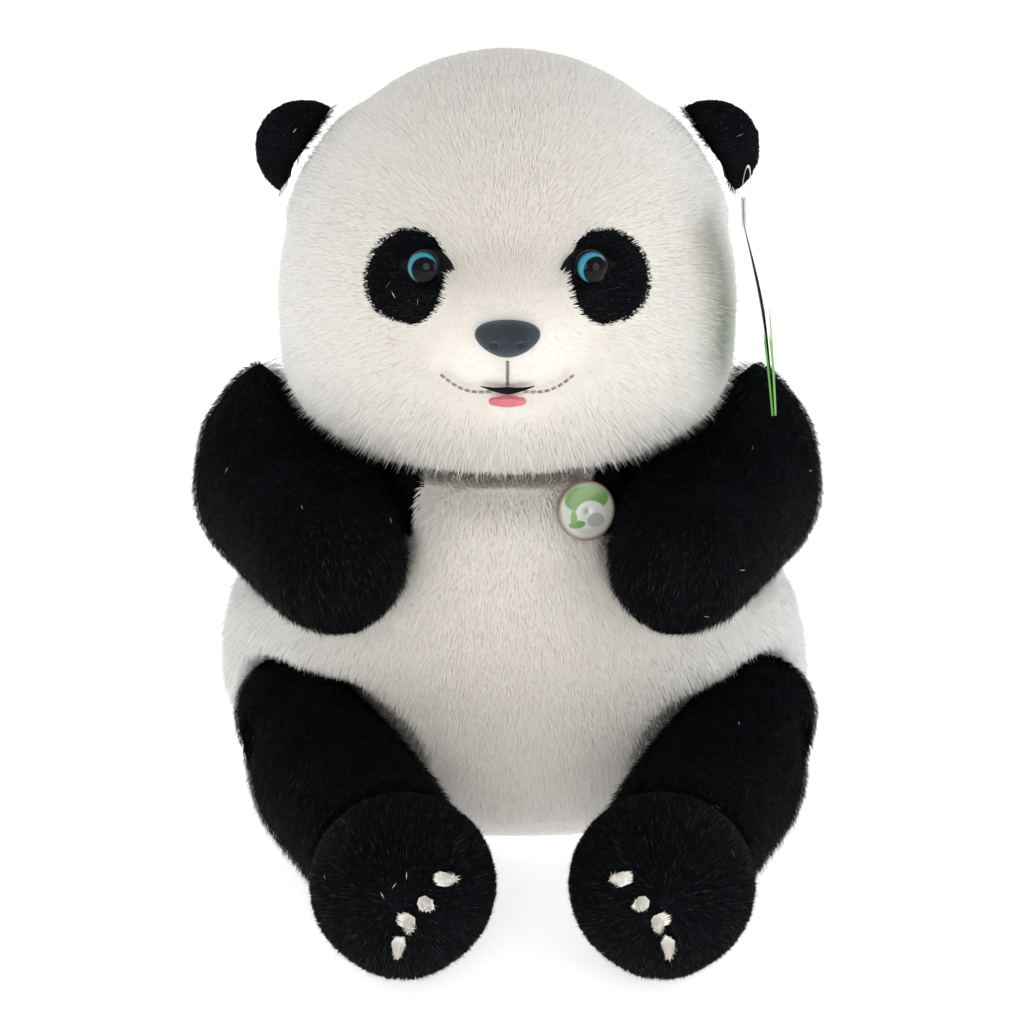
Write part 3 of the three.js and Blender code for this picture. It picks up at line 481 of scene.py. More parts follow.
# ---------------------------------------------------------------- fur
def sampled(mesh, per_m2, rng, density=None):
    """Random places on a surface with their normals, by area."""
    mesh.calc_loop_triangles()
    count = len(mesh.loop_triangles)
    corners = np.empty(count * 3, np.int32)
    mesh.loop_triangles.foreach_get("vertices", corners)
    corners = corners.reshape(-1, 3)
    places, normals = points_of(mesh), normals_of(mesh)
    a, b, c = (places[corners[:, k]] for k in range(3))
    area = np.linalg.norm(np.cross(b - a, c - a), axis=1) / 2
    chosen = rng.choice(count, int(area.sum() * per_m2), p=area / area.sum())
    u, v = rng.random((2, len(chosen)))
    over = u + v > 1
    u[over], v[over] = 1 - u[over], 1 - v[over]
    weights = np.stack([1 - u - v, u, v], axis=1)[:, :, None]
    at = (places[corners[chosen]] * weights).sum(1)
    out = unit((normals[corners[chosen]] * weights).sum(1))
    if density is not None:
        kept = rng.random(len(at)) < density(at, out)
        at, out = at[kept], out[kept]
    return at, out


def strands(name, body, at, out, length, comb, lean, shades, palette, rng,
            width=BLADE_WIDTH, wild=BLADE_WILD):
    """Pile: one tapered blade with a bend for each root, in pieces of at most FACES_PER_PIECE faces.

    Most blades are undercoat, which lies along the comb and shows its flat side. The rest stand and
    turn any way."""
    count = len(at)
    under = rng.random(count) < UNDERCOAT_SHARE
    turn = np.where(under, UNDERCOAT["wild"] * wild, wild)
    jitter = tangent(rng.normal(size=(count, 3)), out) * turn[:, None]
    lean = lean * np.where(under, UNDERCOAT["lean"], 1.0)
    way = unit(out + comb * lean[:, None] + jitter)
    bent = unit(way + comb * (lean * TIP_LEAN)[:, None] + jitter * 0.5 + DOWN * TIP_FALL)
    length = length * rng.uniform(*LENGTH_SPREAD, count) * np.where(under, UNDERCOAT["length"], 1.0)
    turned = unit(np.cross(way, unit(out * 0.3 + rng.normal(size=(count, 3)))))
    flat = unit(np.cross(way, out) + 0.12 * turned)
    across = np.where(under[:, None], flat, turned)
    widths = rng.uniform(*WIDTH_SPREAD, count) * np.where(under, UNDERCOAT["width"], GUARD_WIDTH)
    half = across * (width / 2 * widths)[:, None]
    root = at - out * BLADE_ROOT
    middle = root + way * (length * 0.5)[:, None]
    tip = middle + bent * (length * 0.5)[:, None]
    blade = np.stack([root, middle + half, middle - half, tip], axis=1)
    blade[..., 2] = np.maximum(blade[..., 2], 0)  # pile lies flat on the floor
    shown = np.where(under[:, None], out, unit(np.cross(half, way)))
    each = FACES_PER_PIECE // 2
    for part, start in enumerate(range(0, count, each)):
        mesh = blade_mesh(name, blade[start : start + each], shown[start : start + each])
        piece = new_object(f"{name}_{part + 1}", mesh)
        for one in palette:
            piece.data.materials.append(one)
        shade = np.repeat(shades[start : start + each], 2).astype(np.int32)
        piece.data.polygons.foreach_set("material_index", shade)
        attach(piece, body)


def blade_mesh(name, blades, shown):
    """Two triangles for each blade, shaded as if it faced the way that shown says."""
    size = len(blades)
    mesh = bpy.data.meshes.new(name)
    mesh.vertices.add(size * 4)
    mesh.vertices.foreach_set("co", blades.astype(np.float32).ravel())
    corner = np.array([[0, 1, 2], [1, 3, 2]], np.int32)
    faces = (np.arange(size, dtype=np.int32) * 4)[:, None, None] + corner
    mesh.loops.add(size * 6)
    mesh.loops.foreach_set("vertex_index", faces.ravel())
    mesh.polygons.add(size * 2)
    mesh.polygons.foreach_set("loop_start", np.arange(0, size * 6, 3, dtype=np.int32))
    mesh.update(calc_edges=True)
    mesh.polygons.foreach_set("use_smooth", np.ones(size * 2, bool))
    mesh.normals_split_custom_set_from_vertices(np.repeat(shown, 4, axis=0).tolist())
    return mesh


def white_shades_with_painted_light(at, middle, rng):
    """Painted light: the middle of the front stays cream and white at random, and toward the sides and the
    back more and more blades take the cool shade, a painted tint of cool rim light.
    """
    away = in_oval(at[:, 0] - middle[0], at[:, 2] - middle[2], PAINTED_LIGHT_REACH)
    cool = smoothstep(*PAINTED_TINT_RANGE, away + 0.25 * rng.normal(size=len(at)))
    return np.where(rng.random(len(at)) < cool, PAINTED_COOL_TINT, np.where(rng.random(len(at)) < 0.5, CREAM, WHITE))


def black_shades(count, rng):
    return rng.choice([BLACK, SOFT_BLACK, BLACK_TIPS], count, p=BLACK_SHADES)


def in_oval(x, z, half):
    """How far a place is from the middle of an oval: over 1 is outside."""
    return np.hypot(x / half[0], z / half[1])


def in_patch(places):
    """How far a place is from the middle of an eye patch: over 1 is outside."""
    found = np.full(len(places), FAR_OUTSIDE)
    turn = PATCH["lean"]
    for side in SIDES.values():
        x = places[:, 0] * side - PATCH["centre"][0]
        z = places[:, 2] - PATCH["centre"][1]
        across = x * math.cos(turn) + z * math.sin(turn)
        up = -x * math.sin(turn) + z * math.cos(turn)
        reach = in_oval(across, up, PATCH["half"])
        reach[places[:, 1] > PATCH_FRONT] = FAR_OUTSIDE
        found = np.minimum(found, reach)
    return found


def from_mouth(places):
    """How far a place on the front of the face is from the middle of the mouth and the nose."""
    away = np.hypot(places[:, 0] - MOUTH_MIDDLE[0], (places[:, 2] - MOUTH_MIDDLE[2]) * 1.1)
    away[places[:, 1] > FACE_FRONT] = 1.0
    return away


def white_fur(name, body, mesh, length, comb_way, lean, middle, rng, density=None):
    """White pile. length, comb_way, lean and density are functions of places and normals."""
    at, out = sampled(mesh, WHITE_DENSITY, rng, density)
    comb = unit(tangent(comb_way(at, out), out))
    strands(name, body, at, out, length(at, out), comb, lean(at, out),
            white_shades_with_painted_light(at, middle, rng), WHITE_PILE, rng)


def everywhere(value):
    """The same number, or the same direction, at each place."""
    return lambda at, out: np.broadcast_to(np.array(value, float), (len(at), *np.shape(value))).copy()


def black_fur(name, body, mesh, per_m2, length, comb_way, lean, rng, density=None):
    """Black pile with a little lint on it."""
    at, out = sampled(mesh, per_m2, rng, density)
    comb = unit(tangent(comb_way(at, out), out))
    shades = black_shades(len(at), rng)
    length = length(at, out)
    strands(name, body, at, out, length, comb, np.full(len(at), lean), shades,
            BLACK_PILES, rng)
    few = rng.choice(len(at), max(4, len(at) // LINT_SPACING), replace=False)
    bits = len(few)
    lint = unit(rng.normal(size=(bits, 3)))
    lying = at[few] + out[few] * LINT_HEIGHT * length[few, None]
    strands(name + "_lint", body, lying, out[few], np.full(bits, LINT_LENGTH),
            unit(tangent(lint, out[few])), np.full(bits, LINT_LEAN), np.full(bits, LINT),
            BLACK_PILES, rng, width=LINT_WIDTH)


def dressed(obj, made_of, body, slot, *nodes):
    """The material and the body of a piece, and the CAD nodes that it stands for and hides. slot is not
    used.
    """
    obj.data.materials.clear()
    obj.data.materials.append(made_of)
    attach(obj, body)
    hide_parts(*nodes)


def covered(obj, made_of, body, slot, *nodes, fill=STUFFED):
    dressed(obj, made_of, body, slot, *nodes)


def seeded(number):
    return np.random.default_rng(number)


# ---------------------------------------------------------------- head
def head_depth(places):
    """How far the backing cloth lies under the tips of the pile."""
    deep = MUZZLE_DEPTH + (HEAD_DEPTH - MUZZLE_DEPTH) * smoothstep(*MUZZLE_COVER_REACH, from_mouth(places))
    patch = 1 - smoothstep(*PATCH_EDGE, in_patch(places))
    return deep * (1 - patch) + PATCH_DEPTH * patch


def split_by(obj, name, chosen):
    """Takes the faces whose middles are chosen out of an object, into a new object."""
    mesh = obj.data
    middles = np.empty(len(mesh.polygons) * 3, np.float32)
    mesh.polygons.foreach_get("center", middles)
    picked = chosen(middles.reshape(-1, 3).astype(float))
    faces = faces_of(mesh)
    kept, taken = (
        part_of(name, mesh, [face for face, one in zip(faces, which) if one]) for which in (~picked, picked)
    )
    obj.data = kept
    return new_object(name, taken)


def head_length(at, out):
    """Short round the mouth, long under the chin, the cheeks and round the ears."""
    near = smoothstep(*MUZZLE_PILE_REACH, from_mouth(at))
    low = smoothstep(*CHIN_HEIGHTS, at[:, 2])
    length = SHORT_PILE + (HEAD_PILE - SHORT_PILE) * near
    from_ear = np.linalg.norm(np.abs(at) * [1, 0, 0] + at * [0, 1, 1] - EAR_MIDDLE, axis=1)
    by_ear = BEHIND_EAR_PILE * smoothstep(*EAR_REACH, from_ear)
    length = length + (CHIN_PILE - HEAD_PILE) * low * near + by_ear
    return np.where(in_patch(at) < 1.3, np.minimum(length, HEAD_PILE), length)


def head_comb(at, out):
    return unit(at - NOSE_TIP) + [0, 0, -0.3]


def build_head():
    rng = seeded(11)
    patches = [f"eye_patch_{side}" for side in SIDES]
    skin = shell_of("head_cover", "head", ["head_skin", "head_stuffing", *patches])
    move_in(skin, head_depth)
    puffed(skin)
    finer(skin)
    whole = skin.data.copy()
    patch = split_by(skin, "eye_patch_felt", lambda places: in_patch(places) < 1)
    covered(skin, WHITE_SKIN, "head", "white_pile", "head_skin", "head_stuffing")
    covered(patch, BLACK_SKIN, "head", "black_pile", *patches, fill=LIGHTLY_STUFFED)
    white_fur("head_pile", "head", whole, head_length, head_comb, everywhere(0.8), HEAD_PAINTED_LIGHT_MIDDLE, rng,
              lambda at, out: np.where(in_patch(at) < 1.0, 0.0, 1.0) * clear_of_mouth(at))
    black_fur("eye_patch_pile", "head", whole, FINE_DENSITY, everywhere(PATCH_PILE),
              lambda at, out: unit(at - NOSE_TIP) - [0, 0, 0.3], 0.8, rng,
              lambda at, out: np.where(in_patch(at) < 1.04, clear_of_eye(at), 0.0))
    bpy.data.meshes.remove(whole)


def clear_of_eye(at):
    """0 under the almond rim of an eye, else 1."""
    x, z = EYE_OPENING["centre"]
    found = np.ones(len(at))
    for side in SIDES.values():
        found[in_oval(at[:, 0] * side - x, at[:, 2] - z, EYE_OPENING["half"]) < 1] = 0
    return found


def clear_of_mouth(at):
    """0 where the nose, the philtrum and the tongue are, else 1."""
    x, z = np.abs(at[:, 0]), at[:, 2]
    low, high_end = PHILTRUM_OPENING["heights"]
    line = (x < PHILTRUM_OPENING["half_width"]) & (z > low) & (z < high_end)
    nose, tongue = (
        in_oval(x, z - opening["height"], opening["half"]) < 1 for opening in (NOSE_OPENING, TONGUE_OPENING)
    )
    return np.where((at[:, 1] < MUZZLE_FRONT) & (nose | line | tongue), 0.0, 1.0)


# ---------------------------------------------------------------- torso
def in_yoke(places):
    """Whether a place is in the black band over the shoulders."""
    x, y, z = places.T
    behind = (y >= 0) & (z > YOKE_BACK_BOTTOM)
    before = (y < 0) & (z > YOKE_FRONT_BOTTOM) & (np.abs(x) > np.interp(z, *BIB))
    return behind | before


def over_floor(low, high):
    """How far a cover lies under the tips: nothing at the floor, all of it above."""
    return lambda places: BACKING_DEPTH * smoothstep(low, high, places[:, 2])


def at_neck(at):
    """1 round the neck, where the head's pile and the body's meet, and 0 below."""
    return smoothstep(*NECK_HEIGHTS, at[:, 2])


def at_hips(at):
    """1 on the sides where the legs lie against the body, and 0 away from them."""
    aside = smoothstep(*HIP_SIDES, np.abs(at[:, 0]))
    ahead = smoothstep(*HIP_FRONTS, at[:, 1])
    return aside * ahead * smoothstep(*HIP_BOTTOMS, at[:, 2]) * smoothstep(*HIP_TOPS, at[:, 2])


def body_length(at, out):
    """Short at the floor, long at the neck and against the legs."""
    low = SEAT_PILE_SHARE + (1 - SEAT_PILE_SHARE) * smoothstep(*SEAT_PILE, at[:, 2])
    return BODY_PILE * low + (NECK_PILE - BODY_PILE) * at_neck(at) + 0.5 * FILLING_PILE * at_hips(at)


def build_torso():
    rng = seeded(23)
    nodes = ["torso_skin", "shoulder_yoke", "torso_stuffing", "pellet_bag"]
    skin = shell_of("body_cover", "torso", nodes)
    sunk = over_floor(*BODY_SEAT)
    move_in(skin, lambda places: sunk(places) * (1 - (1 - HIP_DEPTH_SHARE) * at_hips(places)))
    puffed(skin)
    finer(skin)
    whole = skin.data.copy()
    yoke = split_by(skin, "shoulder_cover", in_yoke)
    covered(skin, WHITE_SKIN, "torso", "white_pile", "torso_skin", "torso_stuffing", "pellet_bag")
    covered(yoke, BLACK_SKIN, "torso", "black_pile", "shoulder_yoke")
    white_fur("body_pile", "torso", whole, body_length,
              lambda at, out: DOWN + np.clip(at / 0.08, -1, 1) * [0.35, 0, 0],
              lambda at, out: 0.85 - 0.6 * at_neck(at), BODY_PAINTED_LIGHT_MIDDLE, rng,
              lambda at, out: np.where((at[:, 2] < FLOOR_MARGIN["body"]) | in_yoke(at), 0.0, 1.0))
    black_fur("shoulder_pile", "torso", whole, BLACK_DENSITY, everywhere(BLACK_PILE),
              everywhere(DOWN), 0.7, rng,
              lambda at, out: np.where(in_yoke(at), 1.0, 0.0))
    bpy.data.meshes.remove(whole)
    tail = shell_of("tail_cover", "tail", ["tail_skin", "tail_stuffing"])
    move_in(tail, BACKING_DEPTH)
    covered(tail, WHITE_SKIN, "torso", "white_pile", "tail_skin", "tail_stuffing")
    white_fur("tail_pile", "torso", tail.data, everywhere(TAIL_PILE), everywhere((0, 0.5, -1.0)),
              everywhere(0.6), HEAD_PAINTED_LIGHT_MIDDLE, rng)


# ---------------------------------------------------------------- limbs and ears
def toward(middle, at, out):
    """1 where a surface faces a point, and 0 where it looks away."""
    return smoothstep(*FACING, (unit(middle - at) * out).sum(1))


def high(at):
    """1 at the top of the arms, where the head rests on them."""
    return smoothstep(*ARM_TOP_HEIGHTS, at[:, 2])


def build_arm(name, side, rng):
    body = f"arm_{name}"
    arm = shell_of(f"arm_cover_{name}", "arm", [f"arm_skin_{name}", f"arm_stuffing_{name}"])
    smoothed(arm.data, ARM_TOP_ROUNDS, where=lambda places: smoothstep(*ARM_TOP, places[:, 2]))
    move_in(arm, ARM_DEPTH)
    puffed(arm)
    covered(arm, BLACK_SKIN, body, "black_pile", f"arm_skin_{name}", f"arm_stuffing_{name}")
    black_fur(f"arm_pile_{name}", body, arm.data, BLACK_DENSITY,
              lambda at, out: BLACK_PILE + FILLING_PILE * toward(HEAD_MIDDLE, at, out) * high(at),
              everywhere((-0.3 * side, -0.5, -0.8)), 0.7, rng)


def build_leg(name, side, rng):
    body = f"leg_{name}"
    covers = {}
    for part in ("leg", "foot"):
        nodes = [f"{part}_skin_{name}", f"{part}_stuffing_{name}"]
        cover = shell_of(f"{part}_cover_{name}", part, nodes)
        move_in(cover, over_floor(*LIMB_SEAT))
        puffed(cover)
        covered(cover, BLACK_SKIN, body, "black_pile", *nodes)
        covers[part] = cover
    leg, foot = covers["leg"].data, covers["foot"].data
    black_fur(f"leg_pile_{name}", body, leg, BLACK_DENSITY, everywhere(BLACK_PILE),
              everywhere((-0.2 * side, -0.6, -0.7)), 0.7, rng, open_to(tree_of(foot)))
    middle = points_of(foot).mean(0) + [0, -0.03, 0.008]
    black_fur(f"foot_pile_{name}", body, foot, BLACK_DENSITY, everywhere(BLACK_PILE * FOOT_SHARE),
              lambda at, out: at - middle, 0.6, rng, open_to(tree_of(leg)))


def build_claws(name, rng):
    """Each claw is a tuft of white pile that comes to a point."""
    foot_middle = points_of(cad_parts[f"foot_skin_{name}"].data).mean(0)
    for number in range(1, 5):
        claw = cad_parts[f"claw_{number}_{name}"].data
        way = unit(points_of(claw).mean(0) - foot_middle)
        at, out = sampled(claw, CLAW_DENSITY, rng)
        count = len(at)
        comb = unit(tangent(np.tile(way, (count, 1)), out))
        strands(f"claw_tuft_{number}_{name}", f"leg_{name}", at, out,
                np.full(count, CLAW_PILE), comb, np.full(count, 1.8),
                white_shades_with_painted_light(at, foot_middle, rng), WHITE_PILE, rng, wild=0.4)


def build_ear(name, side, rng):
    ear = shell_of(f"ear_cover_{name}", "ear", [f"ear_skin_{name}", f"ear_wadding_{name}"])
    move_in(ear, EAR_DEPTH)
    finer(ear)
    covered(ear, BLACK_SKIN, f"ear_{name}", "black_pile", f"ear_skin_{name}", f"ear_wadding_{name}")
    base = EAR_BASE * [side, 1, 1]
    black_fur(f"ear_pile_{name}", f"ear_{name}", ear.data, FINE_DENSITY,
              lambda at, out: EAR_PILE + 0.5 * FILLING_PILE * toward(HEAD_MIDDLE, at, out),
              lambda at, out: at - base, 1.0, rng)


def build_limbs():
    for number, (name, side) in enumerate(SIDES.items()):
        rng = seeded(31 + number)
        build_arm(name, side, rng)
        build_leg(name, side, rng)
        build_claws(name, rng)
        build_ear(name, side, rng)


def tree_of(mesh):
    return BVHTree.FromPolygons([v.co.copy() for v in mesh.vertices], faces_of(mesh))


def open_to(tree, reach=0.012):
    """Where pile has room to stand: not against another cover of the same body, and not under it."""
    def density(at, out):
        near_floor = at[:, 2] < FLOOR_MARGIN["limb"]
        met = [tree.ray_cast(Vector(p), Vector(n), reach)[0] is not None for p, n in zip(at, out)]
        return np.where(near_floor | np.array(met), 0.0, 1.0)
    return density


# ---------------------------------------------------------------- patterned materials
def placed(tree, place, normal):
    """Coordinates about a place, in metres, with their z along a normal and their y upright."""
    here = node(tree, "ShaderNodeTexCoord").outputs["Object"]
    turn = basis(normal).to_euler()
    mapped = node(tree, "ShaderNodeMapping", vector_type="TEXTURE", Vector=here,
                  Location=tuple(place), Rotation=turn)
    return mapped.outputs["Vector"]


def basis(normal):
    """The rotation that turns +Z to a normal and keeps +Y as upright as it can be."""
    z = Vector(normal).normalized()
    x = Vector((0, 0, 1)).cross(z).normalized()
    return Matrix((x, z.cross(x), z)).transposed()


def spot(tree, base, place, centre, half, colour, soft=0.04):
    """An oval of a colour over a base colour, on the xy plane of a place."""
    moved = node(tree, "ShaderNodeVectorMath", operation="SUBTRACT")
    tree.links.new(place, moved.inputs[0])
    moved.inputs[1].default_value = (*centre, 0)
    scaled = node(tree, "ShaderNodeVectorMath", operation="MULTIPLY")
    tree.links.new(moved.outputs[0], scaled.inputs[0])
    scaled.inputs[1].default_value = (1 / half[0], 1 / half[1], 0)
    length = node(tree, "ShaderNodeVectorMath", operation="LENGTH")
    tree.links.new(scaled.outputs[0], length.inputs[0])
    edge = node(tree, "ShaderNodeMapRange")
    tree.links.new(length.outputs["Value"], edge.inputs["Value"])
    for socket, value in (("From Min", 1 + soft), ("From Max", 1 - soft)):
        edge.inputs[socket].default_value = value
    mix = node(tree, "ShaderNodeMix", data_type="RGBA")
    tree.links.new(edge.outputs["Result"], mix.inputs["Factor"])
    tree.links.new(base, mix.inputs[6])
    mix.inputs[7].default_value = (*colour, 1)
    return mix.outputs[2]


def plain_colour(tree, colour):
    made = node(tree, "ShaderNodeRGB")
    made.outputs[0].default_value = (*colour, 1)
    return made.outputs[0]


def iris_material(name, place, side, **finish):
    """A wide black pupil, off centre the same way in both eyes, so that the blue shows as a crescent on its
    upper right side: the blue is the iris's own, and its crescent on the one side is a painted highlight.

    With no place, the piece's own coordinates are the eye's."""
    made = material(name, **finish)
    tree = made.node_tree
    if place is None:
        here = node(tree, "ShaderNodeTexCoord").outputs["Object"]
    else:
        here = placed(tree, place, (EYE_NORMAL[0] * side, *EYE_NORMAL[1:]))
    base = plain_colour(tree, PUPIL_BLACK)
    blue = spot(tree, base, here, (0, 0), (IRIS_RADIUS, IRIS_RADIUS), IRIS_BLUE, 0.08)
    pupil = spot(tree, blue, here, PUPIL_SHIFT_FOR_PAINTED_HIGHLIGHT, (PUPIL_RADIUS, PUPIL_RADIUS), PUPIL_BLACK, 0.05)
    tree.links.new(pupil, tree.nodes["Principled BSDF"].inputs["Base Color"])
    return made


def badge_material():
    """A made-up picture: a pale pebble and leaves under a green field, with a brown edge."""
    made = material("badge_print", Roughness=0.28, Specular_IOR_Level=0.5,
                    Coat_Weight=0.5, Coat_Roughness=0.08)
    tree = made.node_tree
    here = node(tree, "ShaderNodeTexCoord").outputs["Object"]
    paint = plain_colour(tree, BADGE_EDGE)
    for centre, half, colour in BADGE_PICTURE:
        paint = spot(tree, paint, here, centre, half, colour, 0.06)
    tree.links.new(paint, tree.nodes["Principled BSDF"].inputs["Base Color"])
    return made


def darker(colour, share):
    return tuple(share * one for one in colour)


def card_material(name, colour, foot):
    """Printed card: paper grain under a thin print, with a green field at its foot."""
    made = cloth_material(name, darker(colour, 0.94), colour, 0.0006, 0.15, 0.45)
    tree = made.node_tree
    shader = tree.nodes["Principled BSDF"]
    base = shader.inputs["Base Color"].links[0].from_socket
    here = placed(tree, TAG_FOOT["place"], (1, 0, 0))
    tree.links.new(spot(tree, base, here, (0, 0), TAG_FOOT["half"], foot, 0.1), shader.inputs["Base Color"])
    return made


def metal_material(name, colour, rough):
    made = cloth_material(name, darker(colour, 0.8), colour, 0.0004, 0.1, rough)
    made.node_tree.nodes["Principled BSDF"].inputs["Metallic"].default_value = 1.0
    return made


FELT = cloth_material("felt", (0.004, 0.004, 0.005), (0.010, 0.010, 0.012), 0.0005, 0.6, 0.85)
FLOCK = cloth_material(
    "flock",
    (0.016, 0.021, 0.027), (0.036, 0.046, 0.056),
    0.0006, 0.8, 0.75, 0.35, (0.6, 0.75, 0.9), 0.2,
)
PINK_FELT = cloth_material("pink_felt", (0.62, 0.16, 0.19), (0.76, 0.25, 0.28), 0.0005, 0.5, 0.8)
THREAD = cloth_material("thread", (0.004, 0.004, 0.005), (0.012, 0.012, 0.014), 0.0004, 0.5, 0.7)
SOFT_THREAD = cloth_material("soft_thread", (0.22, 0.17, 0.14), (0.34, 0.28, 0.24), 0.0004, 0.5, 0.8)
SATIN = cloth_material("satin", (0.86, 0.86, 0.84), (0.93, 0.93, 0.91), 0.0005, 0.3, 0.35)
STEEL = metal_material("steel", (0.62, 0.63, 0.65), 0.3)
WASHER = cloth_material("washer_plastic", (0.24, 0.25, 0.26), (0.32, 0.33, 0.34), 0.0008, 0.2, 0.5)
CLAW_BASE = cloth_material("claw_base", (0.80, 0.79, 0.75), (0.92, 0.91, 0.88), 0.0006, 0.6, 0.9)
SHOWN_NODES = {  # what the name starts with
    "eye_rim": FELT,
    "eye_washer": WASHER,
    "nose_washer": WASHER,
    "philtrum": THREAD,
    "mouth_stitch": SOFT_THREAD,
    "closing_seam": THREAD,
    "neck_tie": THREAD,
    "badge_back": STEEL,
    "badge_pin": STEEL,
    "claw": CLAW_BASE,
}
ROUNDED_NODES = ("philtrum", "mouth_stitch", "closing_seam", "badge_pin")


# ---------------------------------------------------------------- small pieces
def axis_foot(name, normal):
    """Where a round CAD node's axis meets its back edge."""
    places, out = points_of(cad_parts[name].data), unit(np.array(normal, float))
    middle = places.mean(0)
    return middle + out * ((places - middle) @ out).min()


def turned_piece(name, profile, place, normal, sides=64):
    """A body of revolution from (distance out, radius) pairs, placed on an axis."""
    angles = np.arange(sides) * 2 * math.pi / sides
    circle = np.stack([np.cos(angles), np.sin(angles), 0 * angles], axis=1)
    rings = [radius * circle + [0, 0, distance] for distance, radius in profile]
    faces = []
    for ring in range(len(rings) - 1):
        for i in range(sides):
            a, b = ring * sides + i, ring * sides + (i + 1) % sides
            faces.append((a, b, b + sides, a + sides))
    mesh = bpy.data.meshes.new(name)
    last = (len(rings) - 1) * sides
    faces.append(tuple(range(sides))[::-1])
    faces.append(tuple(last + i for i in range(sides)))
    mesh.from_pydata(np.concatenate(rings).tolist(), [], faces)
    mesh.polygons.foreach_set("use_smooth", np.ones(len(faces), bool))
    made = new_object(name, mesh)
    made.matrix_world = Matrix.Translation(Vector(place)) @ basis(normal).to_4x4()
    bpy.context.view_layer.update()
    return made


def widened_mouth(places):
    """The dark fold between the lips: wider than its CAD solid, thin at the ends, bent round the muzzle."""
    x, z = places[:, 0], places[:, 2]
    wide = MOUTH_WIDENING * x
    end = np.abs(wide) / MOUTH_HALF_WIDTH
    thin = (z.mean() - z) * 0.7 * end
    return np.stack([wide - x, 0.0008 * end**2, thin + 0.0016 * end**2], axis=1)


def build_face():
    dressed(shell_of("nose_flock", "nose", ["nose"]), FLOCK, "head", "flock", "nose")
    dressed(shell_of("tongue_felt", "tongue", ["tongue"]), PINK_FELT, "head", "felt_pink", "tongue")
    fold = bent_card("mouth_fold", "mouth_lining", widened_mouth)
    dressed(fold, FELT, "head", "felt_black", "mouth_lining")
    edge, rise = DOME_HEIGHTS
    turns = [math.pi / 2 * step / DOME_STEPS for step in range(DOME_STEPS)]
    curve = [(edge + rise * math.sin(turn), DOME_RADIUS * math.cos(turn)) for turn in turns]
    profile = [(0.0, DOME_RADIUS - 0.0002), *curve, (edge + rise, 0.0002)]
    for name, side in SIDES.items():
        normal = (EYE_NORMAL[0] * side, *EYE_NORMAL[1:])
        foot = axis_foot(f"eye_dome_{name}", normal)
        dome = turned_piece(f"eye_glass_{name}", profile, foot, normal, 48)
        glass = iris_material(f"eye_glass_{name}", None, side, Roughness=0.04, Specular_IOR_Level=0.15)
        dressed(dome, glass, "head", "clear_plastic", f"eye_dome_{name}")
        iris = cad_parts[f"eye_iris_{name}"]
        iris.material_slots[0].material = iris_material(f"iris_{name}", foot, side, Roughness=0.3)


def build_badge():
    face = turned_piece("badge_tin", BADGE_PROFILE, axis_foot("badge_face", BADGE_NORMAL), BADGE_NORMAL)
    dressed(face, badge_material(), "torso", "tin", "badge_face")


def bent_card(name, source, bend):
    """A CAD sheet divided finely and bent. bend takes places and gives how far each one moves."""
    made = applied(divided(new_object(name, joined_mesh(name, [source])), 3, "SIMPLE"))
    places = points_of(made.data)
    set_points(made.data, places + bend(places))
    return made


def share_down(places, top, height):
    """0 at the top of a hanging thing and above it, and 1 at its foot."""
    return np.clip((top - places[:, 2]) / height, 0, 1)


def along(x=0.0, y=0.0):
    """Sideways moves of points, of which one is an array and the other 0."""
    return np.stack(np.broadcast_arrays(x, y, 0.0), axis=1)


def tag_bend(amount):
    """The bow of one leaf of the tag, its turn and its place beside the ear."""
    def moved(places):
        down = share_down(places, TAG_TOP, TAG_HEIGHT)
        front = np.clip((TAG_BACK_EDGE - places[:, 1]) / TAG_WIDTH, 0, 1)
        return along(x=amount * np.sin(math.pi * down) - TAG_SHIFT - TAG_TWIST * front)
    return moved


def drawn_in(places):
    """The loop of the tag is pulled long and thin, and its foot goes with the leaves."""
    inward = -STRING_DRAWN * (places[:, 0] - places[:, 0].mean())
    return along(x=inward - TAG_SHIFT * share_down(places, STRING_TOP, STRING_HEIGHT))


def label_curl(places):
    return along(y=LABEL_CURL * share_down(places, LABEL_TOP, LABEL_HEIGHT) ** 2)


def build_tag():
    for source, bow, name, slot, colour, foot in TAG_LEAVES:
        leaf = bent_card(source.replace("tag", "tag_leaf"), source, tag_bend(bow))
        dressed(leaf, card_material(name, colour, foot), "hang_tag", slot, source)
    string = bent_card("tag_string", "tag_loop", drawn_in)
    dressed(string, SATIN, "hang_tag", "plastic", "tag_loop")


def build_label():
    label = bent_card("label_satin", "care_label", label_curl)
    dressed(label, SATIN, "torso", "satin", "care_label")


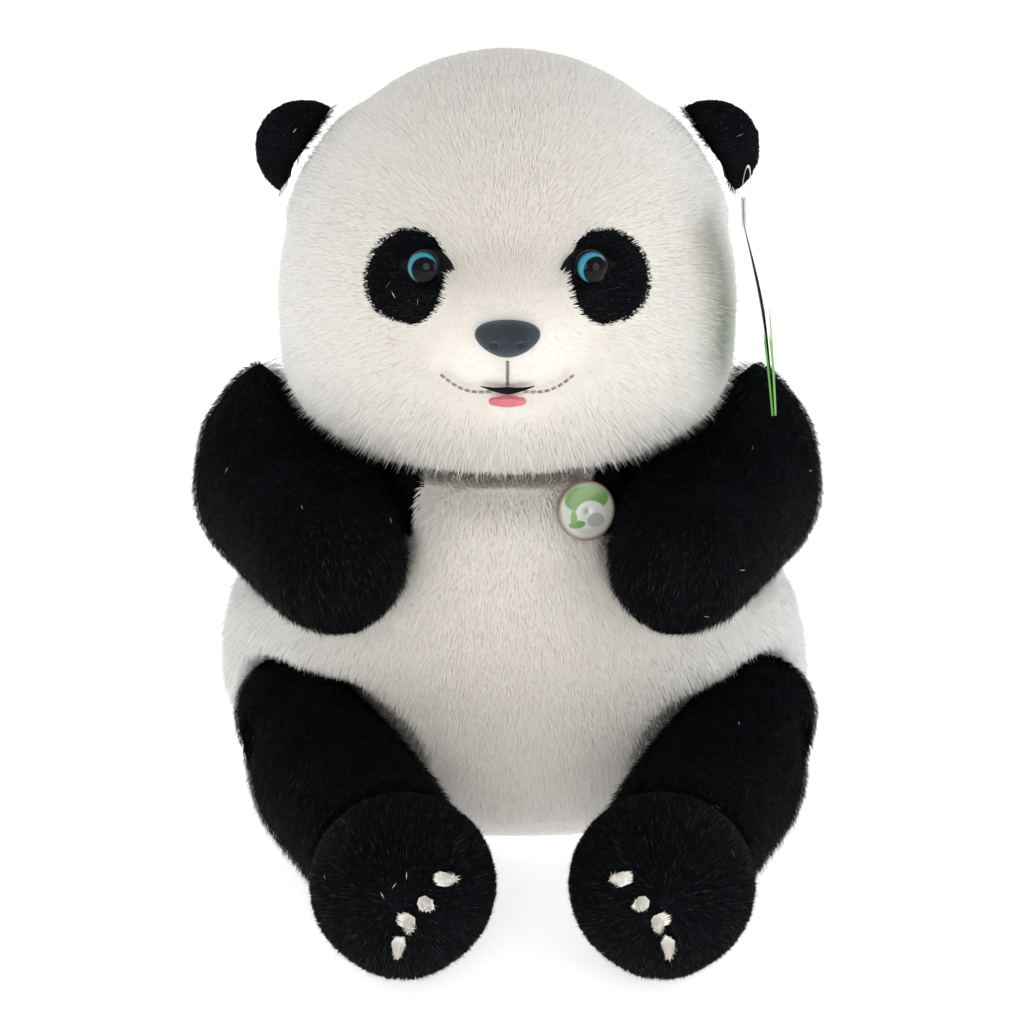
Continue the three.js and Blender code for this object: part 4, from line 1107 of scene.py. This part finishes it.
def finish_shown_nodes():
    """The CAD nodes that still show: their materials, and round threads where the CAD has few sides."""
    for name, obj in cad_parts.items():
        made_of = next((one for start, one in SHOWN_NODES.items() if name.startswith(start)), None)
        if made_of is None:
            continue
        for place in obj.material_slots:
            place.material = made_of
        if name.startswith(ROUNDED_NODES):
            divided(obj)


# ---------------------------------------------------------------- stage
def area_light(name, place, size, power, colour):
    lamp = bpy.data.lights.new(name, "AREA")
    lamp.shape = "DISK"
    lamp.size = size
    lamp.energy = power
    lamp.color = colour
    made = new_object(name, lamp)
    made.location = place
    made.rotation_mode = "QUATERNION"
    made.rotation_quaternion = (Vector(LIGHT_AIM) - Vector(place)).to_track_quat("-Z", "Y")


def build_stage():
    scene = bpy.context.scene
    camera = new_object("camera", bpy.data.cameras.new("camera"))
    camera.location = CAMERA_PLACE
    camera.rotation_euler = (math.pi / 2 - CAMERA_TILT, 0, 0)
    camera.data.lens = CAMERA_LENS
    camera.data.shift_x = CAMERA_SHIFT
    camera.data.clip_start, camera.data.clip_end = CAMERA_REACH
    scene.camera = camera
    scene.view_settings.view_transform = "Standard"
    world = bpy.data.worlds.new("studio")
    world.use_nodes = True
    background = world.node_tree.nodes["Background"]
    background.inputs["Color"].default_value = (1, 1, 1, 1)
    background.inputs["Strength"].default_value = SURROUNDING_LIGHT
    scene.world = world
    for light in LIGHTS:
        area_light(*light)
    reach = FLOOR_SIZE / 2
    corners = [(-reach, -reach, 0), (reach, -reach, 0), (reach, reach, 0), (-reach, reach, 0)]
    mesh = bpy.data.meshes.new("floor")
    mesh.from_pydata(corners, [], [(0, 1, 2, 3)])
    mesh.materials.append(material(
        "floor",
        Base_Color=(0.95, 0.95, 0.95, 1),
        Roughness=0.9,
        Specular_IOR_Level=0.1,
        Emission_Color=(1, 1, 1, 1),
        Emission_Strength=FLOOR_GLOW,
    ))
    floor = new_object("floor", mesh)
    floor.location.z = -FLOOR_DROP


build_stage()
build_head()
build_torso()
build_limbs()
build_face()
build_badge()
build_tag()
build_label()
finish_shown_nodes()
